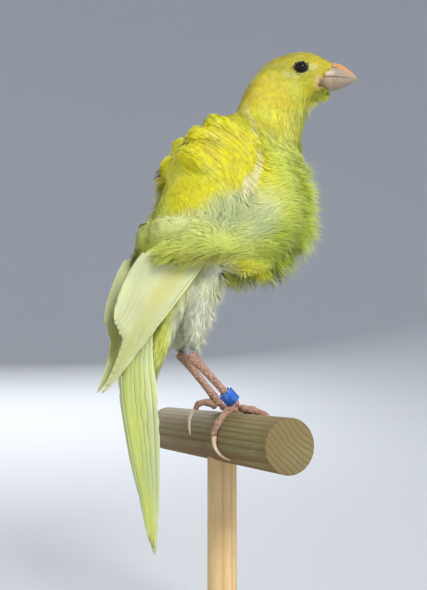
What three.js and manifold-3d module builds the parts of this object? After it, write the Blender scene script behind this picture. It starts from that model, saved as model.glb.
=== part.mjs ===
// A frilled canary as a life-size still model, gripping a cut length of dowel perch on a plain stand.
// Millimetres, +Z up. The origin is the centre of the underside of the round base. The bird's body
// faces +X, its right side is on -Y, and the perch runs along Y.

import * as THREE from 'three';
import { mergeVertices } from 'three/addons/utils/BufferGeometryUtils.js';
import Module from 'manifold-3d';

const wasm = await Module();
wasm.setup();

// Driving sizes of the stand and the perch.
const BASE_RADIUS = 35;
const BASE_THICKNESS = 8;
const BASE_EDGE = 1.2;
const POST_RADIUS = 4.5;
const PERCH_RADIUS = 7.5;
const PERCH_HEIGHT = 64;
const PERCH_LENGTH = 85;
const PERCH_MIDDLE_Y = 1.7;
const GAP = 0.3;

// Driving sizes of the bird, measured from the perch's axis in the bird's middle plane.
const BIRD_Y = -3.5;
const HEAD_AT = [27.2, -1.4, 119.0];
const HEAD_TURN = -28;
const EYE_RADIUS = 2.15;
const EYE_AT = [0.3, 6.3, -0.4];
const TARSUS_RADIUS = 1.4;
const TOE_RADIUS = 1.25;
const VANE_THICKNESS = 0.75;
const TAIL_TIP = [-24.2, 0, -33.2];
const WING_TIP = [-41.6, 2.6, 14.2];

const FORWARD = new THREE.Vector3(1, 0, 0);
const UP = new THREE.Vector3(0, 0, 1);

const vector = (spot) => new THREE.Vector3(...spot);
const degrees = THREE.MathUtils.degToRad;
const mix = THREE.MathUtils.lerp;

// The same spot on the bird's right (-1) or left (+1) side; y counts outwards from the middle.
const onSide = (side, [x, y, z]) => [x, side * y, z];

// A three.js geometry as a closed solid that can be joined and cut, and back again.
function solidOf(geometry) {
  const bare = geometry.clone();
  bare.deleteAttribute('normal');
  bare.deleteAttribute('uv');
  const welded = mergeVertices(bare, 1e-4);
  return new wasm.Manifold(new wasm.Mesh({
    numProp: 3,
    vertProperties: new Float32Array(welded.attributes.position.array),
    triVerts: new Uint32Array(welded.index.array),
  }));
}

function geometryOf(solid) {
  const mesh = solid.getMesh();
  const geometry = new THREE.BufferGeometry();
  geometry.setAttribute('position', new THREE.BufferAttribute(mesh.vertProperties, mesh.numProp));
  geometry.setIndex(new THREE.BufferAttribute(mesh.triVerts, 1));
  return geometry;
}

// Only the largest closed surface of a solid, which drops loose scraps and sealed hollows.
function largest(solid) {
  const pieces = solid.decompose();
  return pieces.reduce((best, piece) => (piece.volume() > best.volume() ? piece : best));
}

const joined = (solids) => solids.reduce((whole, solid) => whole.add(solid));
const cut = (solid, cutters) => cutters.reduce((rest, cutter) => rest.subtract(cutter), solid);

// The part of space behind a plane, as a large block whose one face lies in the plane.
function blockBehind(point, outward, size = 240) {
  const block = new THREE.BoxGeometry(size, size, size);
  const normal = vector(outward).normalize();
  block.applyQuaternion(new THREE.Quaternion().setFromUnitVectors(UP, normal));
  const centre = vector(point).addScaledVector(normal, -size / 2);
  block.translate(centre.x, centre.y, centre.z);
  return solidOf(block);
}

// The frame of a path at t: its spot, its direction, the side that faces outwards and the side across.
function frameAt(path, t, facing) {
  const spot = path.getPoint(t);
  const along = path.getTangent(t);
  const out = facing.clone().addScaledVector(along, -facing.dot(along)).normalize();
  return { spot, along, out, across: new THREE.Vector3().crossVectors(along, out) };
}

// A closed body swept along a line of sections [x, y, z, front, back, half width]. Front and back
// are its reaches along the facing direction, and the two ends are rounded off.
function sweep(sections, { facing = FORWARD, sides = 16, steps = 12, grow = 0, ends = [0.12, 0.12] }) {
  const path = new THREE.CatmullRomCurve3(sections.map((s) => vector(s.slice(0, 3))));
  const sizes = new THREE.CatmullRomCurve3(sections.map((s) => vector(s.slice(3, 6))));
  const shape = new THREE.SphereGeometry(1, sides, steps);
  const spots = shape.attributes.position;
  const turns = shape.attributes.uv;
  for (let i = 0; i < spots.count; i += 1) {
    const t = 1 - turns.getY(i);
    const angle = turns.getX(i) * 2 * Math.PI;
    const { spot, along, out, across } = frameAt(path, t, facing);
    const { x: front, y: back, z: width } = sizes.getPoint(t);
    const start = Math.min(1, t / ends[0]);
    const end = Math.min(1, (1 - t) / ends[1]);
    const round = Math.sqrt(1 - (1 - start) ** 2) * Math.sqrt(1 - (1 - end) ** 2);
    const tall = -Math.cos(angle);
    const wide = Math.sin(angle);
    const atPole = round === 0 ? 0 : 1;
    spot.addScaledVector(out, tall * ((tall > 0 ? front : back) * round + grow * atPole));
    spot.addScaledVector(across, wide * (width * round + grow * atPole));
    spot.addScaledVector(along, grow * (2 * t - 1));
    spots.setXYZ(i, spot.x, spot.y, spot.z);
  }
  return solidOf(shape);
}

// A round rod along a path, its radius given by a function of t, with rounded ends.
function rod(points, radiusAt, { facing = FORWARD, sides = 8, steps = 8, grow = 0, ends = [0.14, 0.14] }) {
  const path = new THREE.CatmullRomCurve3(points.map(vector));
  const count = points.length * 2;
  const sections = Array.from({ length: count + 1 }, (_, i) => {
    const t = i / count;
    const spot = path.getPoint(t);
    const radius = radiusAt(t);
    return [spot.x, spot.y, spot.z, radius, radius, radius];
  });
  return sweep(sections, { facing, sides, steps, grow, ends });
}

// A flat tapered vane along a path, closed, with both of its faces split along the same diagonals.
// facingAt gives the side that it turns outwards, half(t) its half width and tilt its roll in degrees.
function vane(points, facingAt, half, { thickness = VANE_THICKNESS, steps = 4, tilt = 0 } = {}) {
  const path = new THREE.CatmullRomCurve3(points);
  const shape = new THREE.BoxGeometry(1, 1, 1, 1, 1, steps);
  const under = shape.groups[3];
  const index = shape.index.array;
  for (let i = under.start; i < under.start + under.count; i += 6) {
    const [a, b, d, , c] = index.slice(i, i + 6);
    index.set([a, b, c, a, c, d], i);
  }
  const spots = shape.attributes.position;
  for (let i = 0; i < spots.count; i += 1) {
    const t = spots.getZ(i) + 0.5;
    const { spot, along, out } = frameAt(path, t, facingAt(path.getPoint(t)));
    out.applyAxisAngle(along, degrees(tilt));
    const across = new THREE.Vector3().crossVectors(out, along);
    const thick = mix(thickness, thickness * 0.6, t);
    spot.addScaledVector(across, spots.getX(i) * 2 * half(t));
    spot.addScaledVector(out, spots.getY(i) * thick);
    spots.setXYZ(i, spot.x, spot.y, spot.z);
  }
  return solidOf(shape);
}

function named(name, geometry, colour, roughness, metalness = 0) {
  const mesh = new THREE.Mesh(
    geometry,
    new THREE.MeshStandardMaterial({ color: colour, roughness, metalness }),
  );
  mesh.name = name;
  return mesh;
}

const YELLOW = 0xe3d62a;
const GREEN_YELLOW = 0xc9cf3c;
const CREAM = 0xe9ecb8;
const WHITE_FEATHER = 0xe8ebe2;
const HORN = 0xe0b59a;
const SKIN_PINK = 0xc98d78;
const EYE_BLACK = 0x0c0a09;
const RING_BLUE = 0x1f4fb0;
const DOWEL = 0xb08a5a;
const PINE = 0xd9b98a;

// Head. It is turned to the bird's right; its own frame has +x to the bill and +z to the crown.
const headGroup = new THREE.Group();
headGroup.position.set(...HEAD_AT);
headGroup.rotation.z = degrees(HEAD_TURN);
const headPlace = new THREE.Matrix4().compose(
  headGroup.position,
  new THREE.Quaternion().setFromEuler(headGroup.rotation),
  new THREE.Vector3(1, 1, 1),
);

function headForm(grow = 0) {
  return sweep([
    [11.6, 0, -1.2, 3.4, 3.4, 3.2],
    [9.6, 0, -1.1, 5.4, 5.4, 4.9],
    [6.2, 0, -1.0, 7.4, 7.7, 6.6],
    [1.6, 0, -1.2, 9.0, 9.4, 7.8],
    [-3.6, 0, -2.0, 9.0, 9.6, 8.0],
    [-9.0, 0, -3.6, 8.0, 8.6, 7.4],
    [-13.6, 0, -6.4, 5.6, 5.6, 5.6],
  ], { facing: UP, sides: 18, steps: 12, grow, ends: [0.1, 0.2] });
}

function billForm(grow = 0) {
  return sweep([
    [8.4, 0, -1.2, 4.0, 4.0, 3.6],
    [11.0, 0, -1.2, 4.6, 4.2, 3.9],
    [13.8, 0, -1.3, 3.6, 3.1, 2.9],
    [16.6, 0, -1.4, 2.0, 1.7, 1.5],
    [18.8, 0, -1.8, 0.7, 0.5, 0.5],
  ], { facing: UP, sides: 14, steps: 8, grow, ends: [0.08, 0.1] });
}

function eyeForm(side, grow = 0) {
  const ball = new THREE.SphereGeometry(EYE_RADIUS + grow, 10, 8);
  ball.translate(EYE_AT[0], side * EYE_AT[1], EYE_AT[2]);
  return solidOf(ball);
}

// Lids: a low ring of skin round each eye, set in the side of the head.
function lidForm(side) {
  const lid = new THREE.TorusGeometry(EYE_RADIUS + 0.15, 0.5, 5, 12);
  lid.rotateX(Math.PI / 2);
  lid.translate(EYE_AT[0], side * (EYE_AT[1] + 0.9), EYE_AT[2]);
  return solidOf(lid);
}

// The mouth line is a plane that rises a little towards the tip. It runs on past the bill's root to
// the gape as a shallow slit in both cheeks.
const MOUTH_AT = [8.4, 0, -2.4];
const MOUTH_NORMAL = [-0.06, 0, 1];
const GAPE_SLIT = { length: 5.2, height: 0.5, width: 15, at: [8.0, 0, -2.75] };
const slit = new THREE.BoxGeometry(GAPE_SLIT.length, GAPE_SLIT.width, GAPE_SLIT.height);
slit.rotateY(degrees(-3.5));
slit.translate(...GAPE_SLIT.at);
const cheeks = cut(solidOf(slit), [headForm(-0.7)]);

const eyeClearance = [-1, 1].map((side) => eyeForm(side, GAP));
const headWithLids = joined([headForm(), lidForm(-1), lidForm(1)]);
const headCutters = [billForm(GAP), cheeks, ...eyeClearance];
headGroup.add(
  named('head', geometryOf(largest(cut(headWithLids, headCutters))), YELLOW, 0.7),
  named('eye_right', geometryOf(eyeForm(-1)), EYE_BLACK, 0.1),
  named('eye_left', geometryOf(eyeForm(1)), EYE_BLACK, 0.1),
);

// Nostrils: a short slanting hole on each side of the upper half's root.
const NOSTRIL = { radius: 0.42, length: 1.3, at: [11.9, 3.1, 0.9] };
function nostrilForm(side) {
  const hole = new THREE.CapsuleGeometry(NOSTRIL.radius, NOSTRIL.length, 2, 6);
  hole.rotateZ(degrees(90));
  hole.rotateY(degrees(18));
  hole.translate(...onSide(side, NOSTRIL.at));
  return solidOf(hole);
}

const MOUTH_BELOW = [MOUTH_AT[0], 0, MOUTH_AT[2] - GAP];
const lowerSpace = blockBehind(MOUTH_BELOW, MOUTH_NORMAL);
const upperSpace = blockBehind(MOUTH_AT, MOUTH_NORMAL.map((value) => -value));
const upperHalf = cut(billForm().intersect(upperSpace), [nostrilForm(-1), nostrilForm(1)]);
headGroup.add(
  named('bill_upper', geometryOf(largest(upperHalf)), HORN, 0.4),
  named('bill_lower', geometryOf(largest(billForm().intersect(lowerSpace))), HORN, 0.4),
);

// Trunk. The core is the flesh with its short feathers, and the frills stand out round it.
function trunkCore(grow = 0) {
  return sweep([
    [15, 0, 98, 7, 8, 7],
    [11, 0, 90, 11, 12, 11],
    [7, 0, 81, 14, 15, 13],
    [2, 0, 71, 15, 15, 13.5],
    [-6.5, 0, 60, 11.5, 12, 11],
    [-14, 0, 50, 7.5, 8, 9],
    [-19, 0, 40, 5, 6, 7],
    [-25, 0, 31, 4, 4, 6],
  ], { sides: 14, steps: 10, grow });
}

function neckForm(grow = 0) {
  return sweep([
    [24.5, -0.8, 117, 6, 6, 6],
    [20.5, -0.4, 110, 9, 11.0, 8],
    [17.3, 0, 103, 11, 12.6, 9.2],
    [15, 0, 96, 13, 14, 11],
    [14, 0, 89, 14.4, 15, 13],
    [13, 0, 82, 15, 15, 14],
  ], { sides: 16, steps: 10, grow });
}

// The outer surface of all frills together, as sections from the nape down to the belly.
const FRILL_AXIS_X = 5;
const FRILL_SECTIONS = [
  [102, 8, 6, 5],
  [97, 19, 13, 10],
  [91, 23, 20, 14.5],
  [84, 25, 24.5, 18],
  [76, 26.5, 25.5, 20.5],
  [68, 25, 26, 21.5],
  [60, 20, 31, 20.5],
  [54, 14, 35, 18],
  [50.5, 6, 34, 14],
  [48.5, 0, 22, 8],
];
const FRILL_CORE = 0.82;

function frillForm(scale) {
  return sweep(
    FRILL_SECTIONS.map(([z, front, back, width]) => (
      [FRILL_AXIS_X, 0, z, front * scale, back * scale, width * scale]
    )),
    { sides: 12, steps: 8, ends: [0.05, 0.05] },
  );
}

// A spot on that surface: the level counts sections from the top, the angle goes from the front
// (0) over the bird's side (90) to the back (180), and the reach is 1 at the tips.
const frillSizes = new THREE.CatmullRomCurve3(
  FRILL_SECTIONS.map(([, front, back, width]) => vector([front, back, width])),
);
const frillHeights = new THREE.CatmullRomCurve3(FRILL_SECTIONS.map(([z]) => vector([0, 0, z])));

function onFrill(side, [level, angle, reach]) {
  const t = Math.min(1, level / (FRILL_SECTIONS.length - 1));
  const { x: front, y: back, z: width } = frillSizes.getPoint(t);
  const turn = degrees(angle);
  const deep = Math.cos(turn);
  return new THREE.Vector3(
    FRILL_AXIS_X + reach * deep * (deep > 0 ? front : back),
    side * reach * Math.sin(turn) * width,
    frillHeights.getPoint(t).z,
  );
}

// Frill feathers are locks that widen from the root and taper to the tip.
const outwards = (spot) => new THREE.Vector3(spot.x - FRILL_AXIS_X, spot.y, 0).normalize();
const lockHalf = (wide) => (t) => wide * Math.max(0.06, Math.sin(Math.PI * (0.3 + 0.7 * t)) ** 0.8);
const frillLock = (side, places, wide, tilt = 0, steps = 4) => vane(
  places.map((place) => onFrill(side, place)),
  outwards,
  lockHalf(wide),
  { tilt: side * tilt, steps },
);
const countTo = (count) => Array.from({ length: count }, (_, index) => index);
const sway = (index) => Math.sin(index * 2.4);

// The cape parts along the back, arches up and falls round the shoulders with its tips curled out.
function capeLocks(side) {
  const falls = countTo(6).map((row) => {
    const level = 0.7 + 0.72 * row;
    const lean = 3 * sway(row + side);
    return frillLock(side, [
      [level + 0.2, 176, 0.5],
      [level - 0.25, 168, 1.1 + 0.03 * sway(row)],
      [level + 0.45, 142 + lean, 1.04],
      [level + 1.1, 118 + lean, 1.0],
      [level + 1.75, 100 + 2 * row + lean, 1.06],
    ], 4.6, 6);
  });
  const fringe = countTo(5).map((column) => {
    const angle = 172 - 15 * column;
    return frillLock(side, [
      [3.9, angle + 2, 0.6],
      [4.7, angle, 0.98],
      [5.4, angle - 3, 1.05],
      [6.0 + 0.25 * sway(column), angle - 5, 1.1 + 0.05 * sway(column + side)],
    ], 3.8, 0, 3);
  });
  return [...falls, ...fringe];
}

// The breast frill comes from both sides to the middle and stands forward, ragged along its foot.
function breastLocks(side) {
  const rows = countTo(6).map((row) => {
    const level = 2.3 + 0.82 * row;
    return frillLock(side, [
      [level, 45, 0.55],
      [level + 0.1, 36, 0.93],
      [level + 0.15, 22, 1.03],
      [level + 0.3 + 0.1 * sway(row), 7 + 3 * sway(row + side), 1.12],
    ], 4.2, -6, 3);
  });
  const foot = countTo(3).map((column) => {
    const angle = 7 + 14 * column;
    return frillLock(side, [
      [5.6, angle, 0.5],
      [6.4, angle, 0.96],
      [7.2, angle - 2, 1.1],
      [7.9 + 0.3 * sway(column), angle - 4, 1.25],
    ], 3.2, 0, 3);
  });
  return [...rows, ...foot];
}

// The flank frill fans out from under the wing: in two tiers forwards up the side of the breast,
// backwards over the wing, and down under the flank.
function flankLocks(side) {
  const rear = countTo(3).map((row) => frillLock(side, [
    [4.6 + 1.2 * row, 126, 0.62],
    [4.4 + 1.2 * row, 112, 0.96],
    [3.9 + 1.2 * row, 98, 1.0],
    [3.3 + 1.2 * row, 84 + 3 * sway(row), 1.03],
  ], 6.0, -6, 3));
  const front = countTo(5).map((row) => frillLock(side, [
    [3.2 + row, 94, 0.66],
    [3.0 + row, 80, 0.97],
    [2.5 + row, 66, 1.02],
    [1.9 + 0.95 * row, 52 + 3 * sway(row), 1.07],
  ], 5.2, -6, 3));
  const rearward = countTo(3).map((row) => frillLock(side, [
    [7.7, 106, 0.5],
    [7.5 - 0.35 * row, 126, 1.0],
    [7.3 - 0.5 * row, 146, 1.05],
    [7.5 - 0.7 * row, 168 - 3 * row, 1.06],
  ], 4.4, 6, 3));
  const under = countTo(2).map((column) => frillLock(side, [
    [6.6, 116 - 34 * column, 0.6],
    [7.5, 118 - 34 * column, 0.98],
    [8.3, 120 - 34 * column, 0.96],
  ], 6.0, 0, 3));
  return [...rear, ...front, ...rearward, ...under];
}

const CAPE_FRONT = { point: [6, 0, 104], normal: [37, 0, -13] };
const CAPE_LOW = { point: [-22, 0, 60.8], normal: [6.2, 0, -15] };
const BREAST_ANGLE = 47;
const away = (values) => values.map((value) => -value);
const shifted = ({ point, normal }, distance) => {
  const moved = vector(point).addScaledVector(vector(normal).normalize(), distance);
  return [moved.x, moved.y, moved.z];
};
const behindCapeFront = blockBehind(CAPE_FRONT.point, CAPE_FRONT.normal);
const beforeCapeFront = blockBehind(shifted(CAPE_FRONT, GAP), away(CAPE_FRONT.normal));
const aboveCapeLow = blockBehind(CAPE_LOW.point, CAPE_LOW.normal);
const belowCapeLow = blockBehind(shifted(CAPE_LOW, GAP), away(CAPE_LOW.normal));
// The two upright planes through the trunk's axis between the breast frill and the flank frills.
const breastPlane = (side) => ({
  point: [FRILL_AXIS_X, 0, 0],
  normal: [-Math.sin(degrees(BREAST_ANGLE)), side * Math.cos(degrees(BREAST_ANGLE)), 0],
});
const breastSpace = (side) => blockBehind(breastPlane(side).point, breastPlane(side).normal);
const flankSpace = (side) => blockBehind(
  shifted(breastPlane(side), GAP), away(breastPlane(side).normal),
);
const halfOf = (side) => blockBehind([0, side * GAP / 2, 0], [0, -side, 0]);

const bird = new THREE.Group();
bird.position.set(0, BIRD_Y, PERCH_HEIGHT);
bird.add(headGroup);

const headInBird = headForm(GAP).transform(headPlace.elements.slice());
const neck = cut(neckForm(), [headInBird]);
const capeSpace = behindCapeFront.intersect(aboveCapeLow);
const lowerSpaceOfFrills = joined([belowCapeLow, beforeCapeFront]);

// Wing. A folded blade from under the cape to the crossed tips over the rump: wingForm is the space
// that it takes up, and wingFeathers its quills, each one lapped over the next one outwards.
const WING_OUTWARD = [-0.55, 0.83, 0];
const WING_SECTIONS = [
  [-12.5, 12.0, 62, 3.4],
  [-17.0, 11.8, 56.5, 6.4],
  [-24.4, 9.6, 46.5, 7.4],
  [-32.0, 6.6, 34, 5.2],
  [-37.4, 4.2, 24, 3.0],
  [...WING_TIP, 0.9],
];
const WING_QUILLS = 11;

function wingForm(side, { thick = 2.1, wide = 1.15, grow = 0, sides = 8, steps = 8 } = {}) {
  const sections = WING_SECTIONS.map(([x, y, z, half]) => (
    [...onSide(side, [x, y, z]), thick, thick, half * wide]
  ));
  return sweep(sections, {
    facing: vector(onSide(side, WING_OUTWARD)), sides, steps, grow, ends: [0.05, 0.05],
  });
}

function wingFeathers(side) {
  const outward = vector(onSide(side, WING_OUTWARD));
  const path = new THREE.CatmullRomCurve3(
    WING_SECTIONS.map(([x, y, z]) => vector(onSide(side, [x, y, z]))),
  );
  const halves = new THREE.CatmullRomCurve3(WING_SECTIONS.map(([, , , half]) => vector([half, 0, 0])));
  return countTo(WING_QUILLS).map((quill) => {
    // Quill 0 is the outermost primary on the leading edge, the last one a tertial over the rump.
    const place = 1 - (2 * (quill + 0.5)) / WING_QUILLS;
    const inner = quill / (WING_QUILLS - 1);
    const tip = inner < 0.45 ? 1 - 0.62 * inner : 0.72 - 0.12 * (inner - 0.45);
    const root = 0.06 + 0.08 * Math.abs(place);
    const half = mix(0.62, 0.96, inner);
    const stations = [0, 0.34, 0.68, 1].map((step) => {
      const t = mix(root, tip, step);
      const { spot, across } = frameAt(path, t, outward);
      const reach = (halves.getPoint(t).x - half) * place * -side;
      return spot.addScaledVector(across, reach);
    });
    return vane(stations, () => outward, (t) => half * 1.7 * Math.sqrt(1.02 - t ** 6), {
      thickness: 0.9, steps: 3, tilt: side * 16,
    });
  });
}

function thighForm(side, grow = 0) {
  return sweep([
    [...onSide(side, [-6.4, 7, 55]), 4, 7, 5.5],
    [...onSide(side, [-8.6, 7, 47]), 4.8, 6.4, 5.6],
    [...onSide(side, [-11.0, 6.6, 36]), 4.0, 4.8, 4.4],
    [...onSide(side, [-13.2, 5.8, 24.5]), 2.2, 2.4, 2.3],
  ], { sides: 12, steps: 9, grow, ends: [0.12, 0.06] });
}

// Tail. Ten long quills folded like a roof: the middle pair lies on top, along the ridge, and the
// rest step down and forwards to both sides. tailForm is the space that they take up.
const TAIL_SECTIONS = [
  [-29.4, 38, 4.2, 1.0],
  [-33.8, 22, 6.2, 4.2],
  [-33.0, 10, 6.4, 5.0],
  [-30.6, -4, 5.0, 3.4],
  [-27.4, -17, 3.2, 1.8],
  [TAIL_TIP[0], TAIL_TIP[2], 1.0, 0.3],
];
const TAIL_QUILLS = 5;

function tailForm(grow = 0) {
  return sweep(
    TAIL_SECTIONS.map(([x, z, half, drop]) => [x, 0, z, drop + 1.4, 0.9, half + 1]),
    { facing: FORWARD, sides: 10, steps: 9, grow, ends: [0.05, 0.05] },
  );
}

function tailFeathers(side) {
  const ridge = new THREE.CatmullRomCurve3(TAIL_SECTIONS.map(([x, z]) => vector([x, 0, z])));
  const sizes = new THREE.CatmullRomCurve3(
    TAIL_SECTIONS.map(([, , half, drop]) => vector([half, drop, 0])),
  );
  return countTo(TAIL_QUILLS).map((quill) => {
    const place = (quill + 0.45) / TAIL_QUILLS;
    const tip = 0.93 + 0.07 * place - 0.03 * (quill % 2);
    const stations = [0.02, 0.3, 0.66, 1].map((step) => {
      const t = step * tip;
      const { x: half, y: drop } = sizes.getPoint(t);
      const spot = ridge.getPoint(t);
      return spot.add(vector(onSide(side, [drop * place ** 1.3, half * place, 0])));
    });
    const outward = vector(onSide(side, [-0.77, 0.64, 0]));
    return vane(stations, () => outward, (t) => 1.7 * Math.sqrt(1.03 - t ** 3) * (1 - 0.25 * t), {
      thickness: 0.8, steps: 3, tilt: side * -10,
    });
  });
}

function ventForm(grow = 0) {
  return sweep([
    [-17, 0, 42, 4, 4, 6],
    [-22, 0, 30, 4, 3.5, 6],
    [-24.6, 0, 18, 3.2, 2.4, 5],
    [-26, 0, 6, 1.2, 1.0, 2.6],
  ], { sides: 14, steps: 12, grow });
}

const grown = {
  core: trunkCore(GAP),
  neck: neckForm(GAP),
  tail: tailForm(GAP),
  wings: [-1, 1].map((side) => wingForm(side, { grow: 2 * GAP })),
  thighs: [-1, 1].map((side) => thighForm(side, GAP)),
};
const torso = cut(trunkCore(), [grown.neck, grown.tail, ...grown.wings, ...grown.thighs]);
const frillCore = frillForm(FRILL_CORE);
const flesh = [grown.core, grown.neck, ...grown.wings, ...grown.thighs];
const breastFrill = joined([frillCore, ...breastLocks(-1), ...breastLocks(1)]);
const jabot = [lowerSpaceOfFrills, breastSpace(-1), breastSpace(1)].reduce(
  (whole, space) => whole.intersect(space), breastFrill,
);
const tailSpine = sweep(
  TAIL_SECTIONS.map(([x, z, half, drop]) => [x + 0.5, 0, z, drop * 0.4, 0.3, half * 0.5]),
  { facing: FORWARD, sides: 6, steps: 6, ends: [0.05, 0.05] },
);
const tail = joined([tailSpine, ...tailFeathers(-1), ...tailFeathers(1)]);
const vent = cut(ventForm(), [grown.core, grown.tail, ...grown.wings, ...grown.thighs]);
bird.add(
  named('neck', geometryOf(largest(neck)), GREEN_YELLOW, 0.7),
  named('torso', geometryOf(largest(torso)), GREEN_YELLOW, 0.75),
  named('jabot', geometryOf(largest(cut(jabot, flesh))), GREEN_YELLOW, 0.8),
  named('tail', geometryOf(largest(tail)), GREEN_YELLOW, 0.6),
  named('vent', geometryOf(largest(vent)), CREAM, 0.8),
);

for (const side of [-1, 1]) {
  const word = side < 0 ? 'right' : 'left';
  const cape = joined([frillCore, ...capeLocks(side)]).intersect(capeSpace);
  const mantle = cut(cape.intersect(halfOf(side)), flesh);
  const flank = joined([frillCore, ...flankLocks(side)]).intersect(lowerSpaceOfFrills);
  const fin = cut(flank.intersect(halfOf(side)).intersect(flankSpace(side)), flesh);
  const blade = wingForm(side, { thick: 0.45, wide: 0.8, sides: 6, steps: 5 });
  const wing = joined([blade, ...wingFeathers(side)]).intersect(halfOf(side));
  const thigh = cut(thighForm(side), [wingForm(side, { grow: 2 * GAP })]);
  bird.add(
    named(`mantle_${word}`, geometryOf(largest(mantle)), YELLOW, 0.8),
    named(`fin_${word}`, geometryOf(largest(fin)), GREEN_YELLOW, 0.8),
    named(`wing_${word}`, geometryOf(largest(wing)), CREAM, 0.6),
    named(`thigh_${word}`, geometryOf(largest(thigh)), WHITE_FEATHER, 0.85),
  );
}

// Legs. A foot's places are given round the perch: degrees from its top towards the front, y, and
// how far the spot stands clear of the wood.
function roundPerch([angle, y, clear]) {
  const reach = PERCH_RADIUS + clear;
  return [reach * Math.sin(degrees(angle)), y, reach * Math.cos(degrees(angle))];
}

const FEET = {
  right: {
    heel: [-15.0, -5.5, 25.0],
    pad: [0, -7.5, 1.9],
    toes: [
      [[-8, -7.5], [-30, -8.9], [-57, -9.8], [-85, -8.6]],
      [[4, -7.0], [24, -5.6], [45, -4.4], [64, -3.8]],
      [[6, -7.5], [30, -7.8], [58, -7.6], [86, -7.2]],
      [[4, -8.0], [20, -10.8], [38, -13.4], [55, -15.0]],
    ],
    lifts: [0, 0, 0, 0],
    claws: [
      [[-80, -8.6], [-102, -9.0], [-120, -11.4], [-128, -16.2]],
      [[58, -3.8], [80, -3.6], [98, -3.8]],
      [[80, -7.2], [102, -6.9], [122, -7.2]],
      [[49, -14.6], [70, -16.0], [90, -16.6]],
    ],
  },
  left: {
    heel: [-14.0, 5.5, 26.0],
    pad: [0, 4.0, 1.9],
    toes: [
      [[-8, 4.4], [-22, 5.2], [-34, 6.0], [-44, 6.6]],
      [[4, 3.6], [24, 2.4], [45, 1.4], [64, 1.0]],
      [[6, 4.0], [30, 4.4], [58, 4.6], [86, 4.6]],
      [[4, 4.5], [20, 7.2], [38, 10.0], [55, 11.8]],
    ],
    lifts: [3.0, 0, 0, 0],
    claws: [
      [[-40, 6.5], [-56, 7.1], [-72, 7.5], [-88, 7.5]],
      [[58, 1.0], [80, 0.9], [98, 1.1]],
      [[80, 4.6], [102, 4.6], [122, 4.8]],
      [[49, 11.3], [70, 12.6], [90, 13.2]],
    ],
  },
};
const CLAW_RADIUS = 0.8;

// The closed ring that the bird wears on its right leg.
const RING = { inner: 1.8, outer: 2.3, height: 4.2, along: 0.81 };
const heel = vector(FEET.right.heel);
const ankle = vector(roundPerch(FEET.right.pad));
const ringAxis = heel.clone().sub(ankle).normalize();
const ringPlace = new THREE.Matrix4().compose(
  heel.clone().lerp(ankle, RING.along),
  new THREE.Quaternion().setFromUnitVectors(new THREE.Vector3(0, 1, 0), ringAxis),
  new THREE.Vector3(1, 1, 1),
);
const ringProfile = [
  [RING.inner, -1], [RING.outer, -1], [RING.outer, 1], [RING.inner, 1], [RING.inner, -1],
].map(([x, end]) => new THREE.Vector2(x, end * RING.height / 2));
const ring = named('leg_ring', new THREE.LatheGeometry(ringProfile, 20), RING_BLUE, 0.35, 0.6);
ring.applyMatrix4(ringPlace);
bird.add(ring);
const ringClearance = solidOf(new THREE.CylinderGeometry(
  RING.outer + GAP, RING.outer + GAP, RING.height + 2 * GAP, 16,
).applyMatrix4(ringPlace));

for (const [word, foot] of Object.entries(FEET)) {
  const pad = roundPerch(foot.pad);
  const tarsusRadius = (t) => TARSUS_RADIUS * (1.35 - 0.55 * Math.min(1, 3 * t) + 0.25 * t ** 4);
  const tarsusPoints = [foot.heel, [mix(foot.heel[0], pad[0], 0.5), mix(foot.heel[1], pad[1], 0.5),
    mix(foot.heel[2], pad[2], 0.5)], pad];
  const tarsusForm = (grow = 0) => rod(tarsusPoints, tarsusRadius, {
    sides: 10, steps: 9, grow, ends: [0.08, 0.08],
  });
  const toeForm = (index, grow = 0) => rod(
    foot.toes[index].map(([angle, y], step) => roundPerch([
      angle, y, GAP + TOE_RADIUS + foot.lifts[index] * Math.sin(step * Math.PI / 4),
    ])),
    (t) => TOE_RADIUS * (1 - 0.3 * t),
    { facing: new THREE.Vector3(0, 1, 0), sides: 7, steps: 8, grow },
  );
  const clawForm = (index) => rod(
    foot.claws[index].map(([angle, y], step) => roundPerch([
      angle, y, GAP + CLAW_RADIUS + foot.lifts[index] * [0.95, 0.8, 0.4, 0.1][step],
    ])),
    (t) => CLAW_RADIUS * (1 - 0.75 * t),
    { facing: new THREE.Vector3(0, 1, 0), sides: 6, steps: 6, ends: [0.05, 0.05] },
  );
  const thighGap = grown.thighs[word === 'right' ? 0 : 1];
  const tarsus = cut(tarsusForm(), [thighGap]);
  bird.add(named(`leg_${word}`, geometryOf(largest(tarsus)), SKIN_PINK, 0.55));
  const middleToe = toeForm(2, GAP);
  foot.toes.forEach((toe, index) => {
    const neighbours = index === 2 ? [] : [middleToe];
    const solid = cut(toeForm(index), [tarsusForm(GAP), ringClearance, ...neighbours]);
    const claw = cut(clawForm(index), [toeForm(index, GAP)]);
    bird.add(
      named(`toe_${word}_${index + 1}`, geometryOf(largest(solid)), SKIN_PINK, 0.55),
      named(`claw_${word}_${index + 1}`, geometryOf(largest(claw)), HORN, 0.4),
    );
  });
}

// Perch and stand.
function dowel(radius, length, sides, grow = 0) {
  return new THREE.CylinderGeometry(radius + grow, radius + grow, length, sides);
}

const perchShape = dowel(PERCH_RADIUS, PERCH_LENGTH, 36);
perchShape.translate(0, PERCH_MIDDLE_Y, PERCH_HEIGHT);
const postShape = dowel(POST_RADIUS, PERCH_HEIGHT - BASE_THICKNESS - GAP, 20);
postShape.rotateX(Math.PI / 2);
postShape.translate(0, 0, (PERCH_HEIGHT + BASE_THICKNESS + GAP) / 2);
const perchClearance = dowel(PERCH_RADIUS, PERCH_LENGTH, 36, GAP);
perchClearance.translate(0, PERCH_MIDDLE_Y, PERCH_HEIGHT);
const post = cut(solidOf(postShape), [solidOf(perchClearance)]);

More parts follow.
